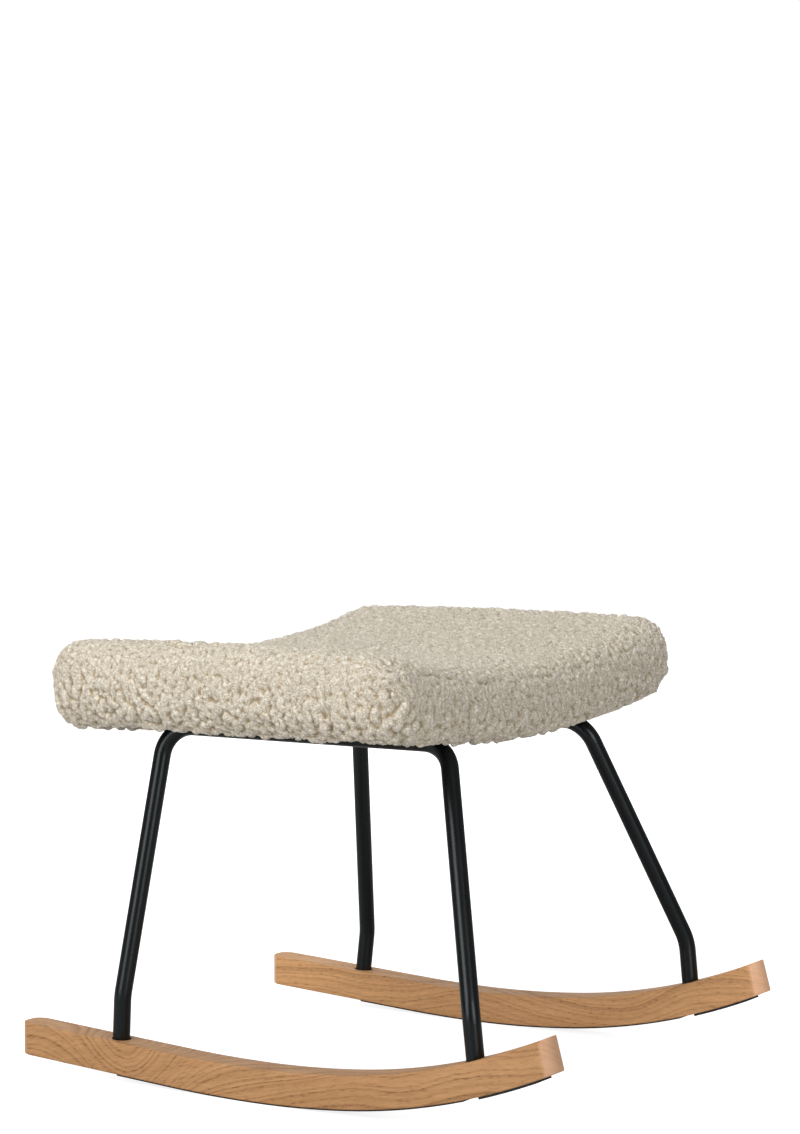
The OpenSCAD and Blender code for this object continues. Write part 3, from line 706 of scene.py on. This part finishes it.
def seat_points(plan, ups, shares):
    """Places on the padding, in metres, for plan points round the seat's middle,
    their heights over the board's underside, and their shares of the swelling, of
    the padding's lean and of the pile's lean."""
    x, y = plan[:, 0], plan[:, 1]
    qx = x * (1 - DRAW_IN / HALF_L * (1 - (y / HALF_W) ** 2))
    qy = y * (1 - DRAW_IN / HALF_W * (1 - (x / HALF_L) ** 2))
    z = DIP_R - np.sqrt((DIP_R - ups) ** 2 - qy ** 2)
    z = z + shares[:, 0] * (PAD_LIFT * (qy / HALF_W) ** 2 - PAD_CROWN * (qx / HALF_L) ** 2)
    z = z + shares[:, 1] * PAD_LEAN * qy / HALF_W + shares[:, 2] * PILE_LEAN * qx / HALF_L
    return settled(qx, qy, z)


def outline_run(step, corner_parts):
    """Plan points on the seat's outline at no inset, with the directions out of
    it, in one turn: straight sides in steps and corners in equal parts."""
    x, y = HALF_L - CORNER_R, HALF_W - CORNER_R
    sides = ((x, y, 0, 2 * x), (-x, y, 90, 2 * y), (-x, -y, 180, 2 * x), (x, -y, 270, 2 * y))
    cores, angles = [], []
    for cx, cy, start, run in sides:
        cores += [(cx, cy)] * corner_parts
        angles += [math.radians(start + 90 * i / corner_parts) for i in range(corner_parts)]
        a = math.radians(start + 90)
        parts = max(1, round(run / step))
        cores += [(cx - math.sin(a) * run * i / parts, cy + math.cos(a) * run * i / parts)
                  for i in range(parts)]
        angles += [a] * parts
    out = np.column_stack((np.cos(angles), np.sin(angles)))
    return np.array(cores) + CORNER_R * out, out


def inset_plan(at, out, inset):
    """The outline drawn in by inset. Past the corner's radius it shrinks evenly."""
    fair = min(inset, CORNER_R - DRAW_IN)
    plan = at - out * fair
    more = inset - fair
    if more > 0:
        limits = np.array((HALF_L - fair, HALF_W - fair))
        plan = plan * (limits - more) / limits
    return plan


def edge(radius, inset_at, up_at, start, end, parts, shares):
    """Rings of (inset, up, shares) that round an edge."""
    angles = [math.radians(start + (end - start) * i / parts) for i in range(parts + 1)]
    return [(inset_at - radius * math.cos(a), up_at + radius * math.sin(a), shares) for a in angles]


def top_rings(up):
    """Rings that close the flat top, at even shares of the half length."""
    return [(s * HALF_L, up, ON_TOP) for s in (0.2, 0.3, 0.4, 0.5, 0.6, 0.7, 0.8, 0.9)]


def ring_rows(at, out, rings):
    """Places of the points of each ring, and of one point in the middle of the last."""
    n = len(at)
    rows = [seat_points(inset_plan(at, out, inset), np.full(n, up), np.tile(shares, (n, 1)))
            for inset, up, shares in rings]
    return rows + [middle_of(rings[-1])]


def middle_of(ring):
    return seat_points(np.zeros((1, 2)), np.array([ring[1]]), np.array([ring[2]]))


INNER_R = TOP_R - COVER_T
INNER_RISE = PAD_RISE - COVER_T
FOAM_STEP, FOAM_CORNER_PARTS, FOAM_EDGE_PARTS = 9.0, 8, 8
FOAM_EASED = 1.5
at, out = outline_run(FOAM_STEP, FOAM_CORNER_PARTS)
n = len(at)
pad_inset, pad_edge, pad_foot = COVER_T + CLEAR, INNER_R - CLEAR, BOARD_T + CLEAR
rings = [(s * HALF_L, pad_foot, AT_BOARD) for s in (0.85, 0.6, 0.35, 0.15)]
rings += [(pad_inset + FOAM_EASED, pad_foot, AT_BOARD), (pad_inset, pad_foot + FOAM_EASED, AT_BOARD)]
rings += edge(pad_edge, pad_inset + pad_edge, INNER_RISE - INNER_R, 0, 90, FOAM_EDGE_PARTS, ON_TOP)
rings += top_rings(INNER_RISE - CLEAR)
top_middle = n * len(rings)
foam_points = np.vstack(ring_rows(at, out, rings) + [middle_of(rings[0])])
foam_faces = joined_rings(n, len(rings)) + fan(top_middle, top_middle - n, n)
foam_faces += turned_over(fan(top_middle + 1, 0, n))
foam = new_mesh("foam_block", foam_points, foam_faces)
foam_material, tree, shader = new_material("cut foam", Roughness=0.9, Specular_IOR_Level=0.2)
place = object_place(tree)
cells = put(tree, "ShaderNodeTexVoronoi", set_feature="DISTANCE_TO_EDGE", Vector=place,
            Scale=900.0).outputs["Distance"]
cream = blended(tree, clouds(tree, place, 20.0, 2.0), (0.78, 0.68, 0.42, 1), (0.86, 0.78, 0.55, 1))
feed(tree, shader, Base_Color=blended(tree, stops(tree, cells, (0.0, 0.0), (0.25, 0.7)), cream,
                                      (0.5, 0.4, 0.2, 1)))
roughen(tree, shader, 0.7, 0.0006, cells, set_invert=True)
foam.data.materials.append(foam_material)
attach(foam, "root")
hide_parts("foam_pad")

# Seat cover

# The cover is one piece of curly pile cloth, pulled down over the foam, turned
# under the board all round and held by the hem. The pile is tufts of short curls,
# which hang largest round the lower edge and are pressed flatter on top.
BOTTOM_R = 22.0
PILE_DROP = 8.0
HEM_W, HEM_T = 26.0, 3.0
UNDERNEATH = (0, 1, 1)
STEP = 1.0
CORNER_PARTS = 24
FLAT_L, FLAT_W = HALF_L - TOP_R, HALF_W - TOP_R
FLAT_R = CORNER_R - TOP_R
CORE_X, CORE_Y = FLAT_L - FLAT_R, FLAT_W - FLAT_R


def spread(half):
    """Places across the flat top: even steps, and fine steps in its round corners."""
    straight = half - FLAT_R
    corner = FLAT_R * np.arange(1, CORNER_PARTS + 1) / CORNER_PARTS
    middle = np.linspace(-straight, straight, round(2 * straight / STEP) + 1)
    return np.concatenate((-straight - corner[::-1], middle, straight + corner))


def round_corners(x, y):
    """Moves plan points of a rectangle so that its corners become round."""
    over_x = np.clip((np.abs(x) - CORE_X) / FLAT_R, 0, 1)
    over_y = np.clip((np.abs(y) - CORE_Y) / FLAT_R, 0, 1)
    both = (over_x > 0) & (over_y > 0)
    dx = over_x * np.sqrt(1 - over_y ** 2 / 2)
    dy = over_y * np.sqrt(1 - over_x ** 2 / 2)
    return (np.where(both, np.sign(x) * (CORE_X + FLAT_R * dx), x),
            np.where(both, np.sign(y) * (CORE_Y + FLAT_R * dy), y))


xs, ys = spread(FLAT_L), spread(FLAT_W)
nx, ny = len(xs), len(ys)
grid_x, grid_y = np.meshgrid(xs, ys, indexing="ij")
plan = np.column_stack(round_corners(grid_x.ravel(), grid_y.ravel()))
index = np.arange(nx * ny).reshape(nx, ny)


def grid_quads(numbers):
    corners = numbers[:-1, :-1], numbers[1:, :-1], numbers[1:, 1:], numbers[:-1, 1:]
    return np.stack(corners, -1).reshape(-1, 4)


def round_the_edge(numbers):
    return np.concatenate((numbers[:-1, 0], numbers[-1, :-1], numbers[:0:-1, -1], numbers[0, :0:-1]))


def band_quads(ring, below):
    return np.stack((ring, below, np.roll(below, -1), np.roll(ring, -1)), -1)


def skirted(grid, count):
    """The rings and the faces of a grid with count rings hung from its edge."""
    edge_ring = round_the_edge(grid)
    hung = grid.size + np.arange(count * len(edge_ring)).reshape(count, -1)
    rings = [edge_ring, *hung]
    return rings, np.vstack([grid_quads(grid)] + [band_quads(a, b) for a, b in zip(rings, rings[1:])])


loop = round_the_edge(index)
around = len(loop)
rim = plan[loop]
core = np.clip(rim, (-CORE_X, -CORE_Y), (CORE_X, CORE_Y))
rim_out = (rim - core) / np.linalg.norm(rim - core, axis=1)[:, None]
outer = core + rim_out * CORNER_R


def between(a, b, parts):
    """Rings between two rings of (inset, up, shares), without the first."""
    return [tuple(np.array(u) + (np.array(v) - np.array(u)) * i / parts for u, v in zip(a, b))
            for i in range(1, parts + 1)]


EDGE_RINGS, SIDE_RINGS, LOW_RINGS, HEM_RINGS = 50, 20, 34, 6
skin = edge(TOP_R, TOP_R, PAD_RISE - TOP_R, 90, 0, EDGE_RINGS, ON_TOP)[1:]
low_edge = edge(BOTTOM_R, BOTTOM_R, BOTTOM_R - PILE_DROP, 0, -90, LOW_RINGS, UNDERNEATH)
skin += between(skin[-1], low_edge[0], SIDE_RINGS) + low_edge[1:]
skin += between(low_edge[-1], (HEM_W, -HEM_T, AT_BOARD), HEM_RINGS)
skin_insets, skin_ups, skin_shares = zip(*skin)


def per_point(on_top, of_rings):
    """One value for every point of the flat top, then each ring's value for its points."""
    return np.concatenate((np.repeat([on_top], nx * ny, 0), np.repeat(of_rings, around, 0)))


rings_of, skin_quads = skirted(index, len(skin))
ring_number = per_point(0.0, range(1, len(skin) + 1))
cover_plan = np.vstack([plan] + [outer - rim_out * float(inset) for inset in skin_insets])
skin_points = seat_points(cover_plan, per_point(PAD_RISE, skin_ups), per_point(ON_TOP, skin_shares))


def read_vectors(items, name):
    """One vector for each item of a part of a mesh."""
    found = np.zeros(len(items) * 3, np.float32)
    items.foreach_get(name, found)
    return found.reshape(-1, 3).astype(float)


def directions(points, quads):
    """The skin's own directions, from a mesh of it."""
    base = new_mesh("directions", points, quads)
    found = read_vectors(base.data.vertex_normals, "vector")
    bpy.data.objects.remove(base)
    return found


# The padding's swell, by cloth simulation: a coarse copy of the skin, drawn in a
# little on top, is blown up from within. Its hem is held fast, and the foam holds
# the rest loosely and unevenly
SWELL_START = 1.0
SWELL_CAP = 5.0
SWELL_FRAMES = 20
SWELL_PRESSURE = 1.0
STRETCH = 40.0
TINY = 1e-9
HOLD, HOLD_CHANGE = 0.135, 0.018
COARSE_X, COARSE_Y, COARSE_RINGS = 47, 65, 17
def picked(last, count):
    """Whole numbers from 0 to last, count of them at most, evenly spread."""
    return np.unique(np.round(np.linspace(0, last, count)).astype(int))

some_x, some_y = picked(nx - 1, COARSE_X), picked(ny - 1, COARSE_Y)
some_k = picked(len(skin), COARSE_RINGS)
some_top = index[np.ix_(some_x, some_y)]
spot = np.full(nx * ny, -1)
spot[loop] = np.arange(around)
some_round = spot[round_the_edge(some_top)]
coarse = skin_points[np.concatenate([some_top.ravel()] + [rings_of[k][some_round] for k in some_k[1:]])]
small = np.arange(some_top.size).reshape(some_top.shape)
small_rings, small_quads = skirted(small, len(some_k) - 1)
coarse_out = directions(coarse, small_quads)
drawn = coarse - coarse_out * np.clip(coarse_out[:, 2:], 0, 1) * SWELL_START * MM
drawn[small_rings[-1]] = coarse[small_rings[-1]]
hub = len(drawn)
last = small_rings[-1]
base_faces = turned_over(fan(hub, int(last[0]), len(last)))
swelling = new_mesh("swelling", np.vstack((drawn, drawn[last].mean(0))),
                    [tuple(map(int, q)) for q in small_quads] + base_faces)
held = swelling.vertex_groups.new(name="held")
holds = HOLD + HOLD_CHANGE * (np.sin(48 * coarse[:, 0] + 17 * coarse[:, 1] + 1)
                              + np.sin(41 * coarse[:, 1] - 23 * coarse[:, 0] + 2))
for i, hold in enumerate(holds):
    held.add([i], float(hold), "REPLACE")
held.add([int(i) for i in last] + [hub], 1.0, "REPLACE")
cloth = swelling.modifiers.new("cloth", "CLOTH")
cloth.settings.use_pressure = True
cloth.settings.uniform_pressure_force = SWELL_PRESSURE
cloth.settings.tension_stiffness = cloth.settings.compression_stiffness = STRETCH
cloth.settings.effector_weights.gravity = 0.0
cloth.settings.vertex_group_mass = "held"
cloth.point_cache.frame_end = SWELL_FRAMES
for number in range(1, SWELL_FRAMES + 1):
    bpy.context.scene.frame_set(number)
blown = swelling.evaluated_get(bpy.context.evaluated_depsgraph_get()).data
moves = read_vectors(blown.vertices, "co")[:hub] - drawn
far = np.linalg.norm(moves, axis=1)
moves *= (np.minimum(far, SWELL_CAP * MM) / np.maximum(far, TINY))[:, None]
moves += drawn - coarse
bpy.data.objects.remove(swelling)
bpy.context.scene.frame_set(1)

def along_axis(values, known, wanted, axis):
    """Fills in values between the known places along one axis."""
    return np.apply_along_axis(lambda row: np.interp(wanted, known, row), axis, values)

top_moves = moves[:small.size].reshape(*small.shape, 3)
top_moves = along_axis(along_axis(top_moves, some_x, np.arange(nx), 0), some_y, np.arange(ny), 1)
side_moves = np.stack([moves[ring] for ring in small_rings])
side_moves = np.concatenate((side_moves, side_moves[:, :1]), 1)
side_moves = along_axis(side_moves, np.append(some_round, around), np.arange(around), 1)
side_moves = along_axis(side_moves, some_k, np.arange(len(skin) + 1), 0)
skin_points = skin_points + np.concatenate((top_moves.reshape(-1, 3), side_moves[1:].reshape(-1, 3)))
normals = directions(skin_points, skin_quads)

# Where the pile fades out towards the hem, faces up, and is near the lower edge
LOW_FROM, LOW_RUN = EDGE_RINGS - 5, 25
fade = np.clip((len(skin) - ring_number) / HEM_RINGS, 0, 1)
facing_up = np.clip(normals[:, 2], 0, 1)
low_down = np.clip((ring_number - LOW_FROM) / LOW_RUN, 0, 1)

rng = random.Random(41)
tree_of_skin = kdtree.KDTree(len(skin_points))
for i, p in enumerate(skin_points):
    tree_of_skin.insert(p, i)
tree_of_skin.balance()
a, b, c = (skin_points[skin_quads[:, i]] for i in (0, 1, 2))
cumulative = np.cumsum(np.linalg.norm(np.cross(b - a, c - a), axis=1))


def scattered(number, seed):
    """Points spread evenly over the skin."""
    draws = np.random.RandomState(seed)
    chosen = np.searchsorted(cumulative, draws.random_sample(number) * cumulative[-1])
    return skin_quads[np.clip(chosen, 0, len(skin_quads) - 1), draws.randint(0, 4, number)]


YARN_STEP = 0.6


def lay_yarn(relief, start, heading, bend_r, span, yarn, lift, plump):
    """Lays one arc of yarn on the skin and raises the relief to its rounded back."""
    centre, normal = Vector(skin_points[start]), Vector(normals[start])
    along = Vector((0, 0, 1)) if abs(normal.z) < 0.8 else Vector((1, 0, 0))
    along = (along - normal * along.dot(normal)).normalized()
    beside = normal.cross(along)
    pivot = centre - bend_r * (math.cos(heading) * along + math.sin(heading) * beside)
    parts = max(1, math.ceil(bend_r * span / (YARN_STEP * yarn)))
    for k in range(parts + 1):
        turn = heading + span * (k / parts - 0.5)
        place = pivot + bend_r * (math.cos(turn) * along + math.sin(turn) * beside)
        for _, i, off in tree_of_skin.find_range(place, yarn):
            back = lift + plump * (1 - (off / yarn) ** 2)
            if back > relief[i]:
                relief[i] = back


# Tufts are short fat arcs that meet in narrow creases. They stand a set distance
# apart: closest on top, widest round the lower edge
APART, APART_ON_TOP, APART_BELOW, APART_RANGE = 4.1, -0.4, 2.3, (0.75, 1.25)
PLUMP, PLUMP_ON_TOP, PLUMP_BELOW = 0.46, 0.34, 0.42
HANGING_SHARE, HANGING_STRAY = 0.6, 0.35
TUFT_BEND, TUFT_SPAN, TUFT_YARN, TUFT_LIFT = (0.5, 0.9), (0.5, 2.6), 0.95, (-0.45, 0.35)
tufts = [0.0] * len(skin_points)
taken = bytearray(len(skin_points))
order = list(range(len(skin_points)))
rng.shuffle(order)
for start in order:
    if taken[start]:
        continue
    low, top = float(low_down[start]), float(facing_up[start])
    apart = (APART + APART_ON_TOP * top + APART_BELOW * low) * rng.uniform(*APART_RANGE) * MM
    for _, i, _ in tree_of_skin.find_range(skin_points[start], apart):
        taken[i] = 1
    hanging = low > 0 and rng.random() < HANGING_SHARE
    heading = rng.gauss(math.pi / 2, HANGING_STRAY) if hanging else rng.uniform(0, 2 * math.pi)
    plump = (PLUMP + PLUMP_BELOW * low + PLUMP_ON_TOP * top) * apart / MM
    lay_yarn(tufts, start, heading, apart * rng.uniform(*TUFT_BEND), rng.uniform(*TUFT_SPAN),
             TUFT_YARN * apart, rng.uniform(*TUFT_LIFT) * plump, plump)
# Curls are thin loops on the backs of the tufts
CURLS, CURL_SEED, CURL_PLUMP = 70000, 23, 0.9
CURL_BEND, CURL_SPAN, CURL_YARN, CURL_LIFT = (1.1, 2.3), (1.5, 4.5), (0.9, 1.4), (-0.1, 0.2)
curls = [0.0] * len(skin_points)
for start in scattered(CURLS, CURL_SEED):
    lay_yarn(curls, start, rng.uniform(0, 2 * math.pi), rng.uniform(*CURL_BEND) * MM,
             rng.uniform(*CURL_SPAN), rng.uniform(*CURL_YARN) * MM, rng.uniform(*CURL_LIFT), CURL_PLUMP)
# Fine furrows wind between the curls
FURROW_WIDTH, FURROW_DEPTH = 0.16, 0.45
furrows = np.array([noise.noise(Vector(p) * 330) + 0.5 * noise.noise(Vector(p) * 610) for p in skin_points])
furrows = np.clip(1 - np.abs(furrows) / FURROW_WIDTH, 0, 1)
pairs = np.vstack([skin_quads[:, [i, (i + 1) % 4]] for i in range(4)])
pairs = np.unique(np.sort(pairs, axis=1), axis=0)
meeting = np.bincount(pairs.ravel(), minlength=len(skin_points))


def evened(values, passes, share=1.0):
    """Values drawn towards the mean of their neighbours."""
    for _ in range(passes):
        total = np.bincount(pairs[:, 0], values[pairs[:, 1]], len(values))
        total += np.bincount(pairs[:, 1], values[pairs[:, 0]], len(values))
        values = values + share * (total / meeting - values)
    return values


# A crease runs along the top of the front face, where the pile parts
across = normals[:, 0] / np.maximum(np.linalg.norm(normals[:, :2], axis=1), 1e-6)
CREASE_RING, CREASE_WIDTH, CREASE_DEPTH = 28, 2.4, 1.6
wave = 1.6 * np.sin(skin_points[:, 1] * 47) + 1.1 * np.sin(skin_points[:, 1] * 113 + 1)
gaps = np.clip(0.6 + 0.5 * np.sin(skin_points[:, 1] * 71 + 2), 0, 1)
crease = np.exp(-((ring_number - CREASE_RING - wave) / CREASE_WIDTH) ** 2)
crease = crease * (across > 0.9) * gaps * (ring_number > 0)
# The right rear corner is tucked in below, and its lowest tufts hang
TUCK_AT, TUCK_REACH = np.array((-200, -235, 345)) * MM, 30 * MM
TUCK = np.array((3.5, 2.0, -2.0)) * MM
corner = np.exp(-(np.linalg.norm(skin_points - TUCK_AT, axis=1) / TUCK_REACH) ** 2) * low_down
tuck = corner[:, None] * TUCK
# The pile hangs lower along the front half of the right side
HANG = 4.0 * MM
HANG_FROM, HANG_RUN = np.array((-0.16, -0.17)), np.array((0.24, -0.04))
side = np.clip((skin_points[:, :2] - HANG_FROM) / HANG_RUN, 0, 1)
tuck[:, 2] -= HANG * side[:, 0] * side[:, 1] * low_down
# The pile's height, evened out over wide stretches, and how deep each place lies, which the pile's material
# turns into painted shade in the creases and on low tufts
SOFTENED = 0.15
RELIEF_PASSES, DEPTH_PASSES, DEPTH_RANGE = 120, 12, 2.2
relief = evened(np.array(tufts) + np.array(curls), 1, SOFTENED) - FURROW_DEPTH * furrows
relief = relief - evened(relief, RELIEF_PASSES) + 0.5 - CREASE_DEPTH * crease
depth = np.clip(0.5 + (relief - evened(relief, DEPTH_PASSES)) / DEPTH_RANGE, 0, 1)
moved = skin_points + (normals * relief[:, None] * MM + tuck) * fade[:, None]
# Underneath, the cloth stays below the board's edge, also where the pile leans up
BELOW_BOARD = 1.2
CLAMP_FROM, CLAMP_RUN = 6, 3
inward = np.clip((per_point(0.0, skin_insets) - CLAMP_FROM) / CLAMP_RUN, 0, 1)
beneath = (ring_number > EDGE_RINGS + SIDE_RINGS) * inward
seat_up = (moved[:, 2] / MM - SEAT_RISE) * math.cos(SEAT_FALL)
seat_up += (moved[:, 0] / MM + MID_X) * math.sin(SEAT_FALL)
too_high = seat_up - DIP_R + np.sqrt(DIP_R ** 2 - (moved[:, 1] / MM) ** 2) + BELOW_BOARD
moved[:, 2] -= np.clip(too_high, 0, None) * beneath * MM

# The inside: hem, inner wall and inner top, with a tenth of the points
COARSE = 10
hem_edge = rings_of[-1]
INNER_CORNER, INNER_PARTS = (3.0, 1.5), 8
inner_rings = [(HEM_W - 1.0, -CLEAR, AT_BOARD), (COVER_T + INNER_CORNER[0], -CLEAR, AT_BOARD),
               (COVER_T, INNER_CORNER[1], AT_BOARD)]
inner_rings += edge(INNER_R, COVER_T + INNER_R, INNER_RISE - INNER_R, 0, 90, INNER_PARTS, ON_TOP)
inner_rings += top_rings(INNER_RISE)
inner_at, inner_out = outer[::COARSE], rim_out[::COARSE]
n = len(inner_at)
inner_rows = ring_rows(inner_at, inner_out, inner_rings)
first = len(moved)
faces = [tuple(int(v) for v in q) for q in skin_quads]
for j in range(n):
    here, there = first + j, first + (j + 1) % n
    points_here = min(COARSE, around - j * COARSE) + 1
    edge_here = [int(hem_edge[(j * COARSE + k) % around]) for k in range(points_here)]
    half = len(edge_here) // 2
    for k, (u, v) in enumerate(zip(edge_here, edge_here[1:])):
        faces.append((u, here if k < half else there, v))
    faces.append((edge_here[half], here, there))
faces += turned_over(joined_rings(n, len(inner_rings), first))
tip = first + n * len(inner_rings)
faces += turned_over(fan(tip, tip - n, n))
cover_points = np.vstack([moved] + inner_rows)
cover = new_mesh("curly_cover", cover_points, faces)

# The map for baking is the cloth laid flat: the top, with the sides unrolled
# outward all round it. The hidden inside has a small map of its own beside it
profile = np.array([(TOP_R, PAD_RISE), *zip(skin_insets, skin_ups)])
reach = np.append(0, np.cumsum(np.linalg.norm(np.diff(profile, axis=0), axis=1)))
laid_out = np.vstack([plan] + [rim + rim_out * far for far in reach[1:]])
shrinking = [1 - k / len(inner_rings) for k in range(len(inner_rings))]
laid_in = np.vstack([inner_at * share for share in shrinking] + [np.zeros((1, 2))])
MAP_HEIGHT, MAP_MIDDLE = 0.98, (0.395, 0.5)
SMALL_MAP_WIDTH, SMALL_MAP_MIDDLE = 0.19, (0.895, 0.5)
size = MAP_HEIGHT / np.ptp(laid_out[:, 1])
small_size = SMALL_MAP_WIDTH / np.ptp(laid_in[:, 0])
flat_places = np.vstack((laid_out * size + MAP_MIDDLE, laid_in * small_size + SMALL_MAP_MIDDLE))
corners = np.zeros(len(cover.data.loops), np.int32)
cover.data.loops.foreach_get("vertex_index", corners)
bake_map = flat_places[corners]
folded = np.arange(skin_quads.size, skin_quads.size + 3 * (around + n))
folded = folded[corners[folded] >= first]
hem_turned = (rim + rim_out * (reach[-1] + HEM_T))[::COARSE] * size + MAP_MIDDLE
bake_map[folded] = hem_turned[corners[folded] - first]
cover.data.uv_layers.new(name="OFBake").data.foreach_set("uv", bake_map.astype(np.float32).ravel())
# The depth is kept on the points for the painted shade of the creases
pile = cover.data.attributes.new("pile_depth", "FLOAT", "POINT")
all_depths = np.concatenate((depth, np.zeros(len(cover_points) - len(depth))))
pile.data.foreach_set("value", all_depths.astype(np.float32))

curly, tree, shader = new_material("curly cream pile", Roughness=0.95, Specular_IOR_Level=0.15,
                                   Sheen_Weight=0.35, Sheen_Roughness=0.5, Sheen_Tint=(1.0, 0.97, 0.9, 1))
place = object_place(tree)
shade_from_depth = put(tree, "ShaderNodeAttribute", set_attribute_name="pile_depth").outputs["Fac"]
# Each small cell of the pile has its own curl: winding strands, with painted shade between them
cells = dict(Vector=place, Scale=225.0, Randomness=1.0)
own = put(tree, "ShaderNodeTexVoronoi", **cells).outputs["Color"]
shifted = put(tree, "ShaderNodeVectorMath", set_operation="ADD", in0=place, in1=own).outputs[0]
winding = clouds(tree, shifted, 155.0, 1.0, Distortion=0.7)
strands = sums(tree, "PINGPONG", sums(tree, "MULTIPLY", winding, 5.0), 0.5)
rim = put(tree, "ShaderNodeTexVoronoi", set_feature="DISTANCE_TO_EDGE", **cells).outputs["Distance"]
curl = sums(tree, "MULTIPLY", stops(tree, rim, (0.0, 0.3), (0.14, 1.0)),
            stops(tree, strands, (0.02, 0.0), (0.24, 1.0)))
# Deep places turn a darker, warmer brown: painted shade in the creases and on low tufts, with the warmer
# colour of the deeper pile
cream = blended(tree, stops(tree, shade_from_depth, (0.05, 0.0), (0.36, 0.8), (0.8, 1.0)), (0.40, 0.30, 0.165, 1),
                (0.815, 0.765, 0.66, 1))
# Painted shade in the gaps between the strands and round the edge of each cell
cream = tinted(tree, cream, stops(tree, curl, (0.0, 1.0), (0.6, 0.0)), 0.74, (0.40, 0.315, 0.20, 1))
cream = tinted(tree, cream, clouds(tree, place, 38.0, 3.0), 0.25, (0.74, 0.69, 0.6, 1))
feed(tree, shader, Base_Color=cream)
roughen(tree, shader, 1.0, 0.0007, sums(tree, "MULTIPLY_ADD", clouds(tree, place, 900.0, 2.0), 0.5, curl))
cover.data.materials.append(curly)
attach(cover, "root")
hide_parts("seat_cover")

# Dust cover

# A thin black cloth closes the underside. It is cut to the space inside the hem
# and stapled to the board round its edge, with the seat bolts through it.
CLOTH_GAP = 2.0
CLOTH_L, CLOTH_W = 2 * (HALF_L - HEM_W - CLOTH_GAP), 2 * (HALF_W - HEM_W - CLOTH_GAP)
CLOTH_CLEAR = 0.02
LONG_STEPS, WIDE_STEPS = 83, 121
xs = np.linspace(-CLOTH_L / 2, CLOTH_L / 2, LONG_STEPS)
ys = np.linspace(-CLOTH_W / 2, CLOTH_W / 2, WIDE_STEPS)
cloth_x, cloth_y = (g.ravel() for g in np.meshgrid(xs, ys, indexing="ij"))
sides = [settled(cloth_x, cloth_y, DIP_R - np.sqrt((DIP_R + CLOTH_CLEAR + low) ** 2 - cloth_y ** 2))
         for low in (0.0, CLOTH_T)]
count = len(cloth_x)
index = np.arange(count).reshape(LONG_STEPS, WIDE_STEPS)
quads, loop = grid_quads(index), round_the_edge(index)
faces = np.vstack((quads, quads[:, ::-1] + count, band_quads(loop, loop + count)))
dust_cloth = new_mesh("black_dust_cloth", np.vstack(sides), faces)
dust_cloth.data.set_sharp_from_angle(angle=math.radians(40))
cloth_black, tree, shader = new_material("black non-woven cloth", Roughness=0.9, Sheen_Weight=0.2)
place = object_place(tree)
dots = put(tree, "ShaderNodeTexVoronoi", Vector=place, Scale=420.0, Randomness=0.15)
felt = clouds(tree, place, 900.0, 4.0)
feed(tree, shader, Base_Color=blended(tree, felt, (0.012, 0.012, 0.013, 1), (0.035, 0.035, 0.036, 1)))
roughen(tree, shader, 0.5, 0.0003, sums(tree, "MULTIPLY_ADD", felt, 0.5, dots.outputs["Distance"]))
dust_cloth.data.materials.append(cloth_black)
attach(dust_cloth, "root")
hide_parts("dust_cover")
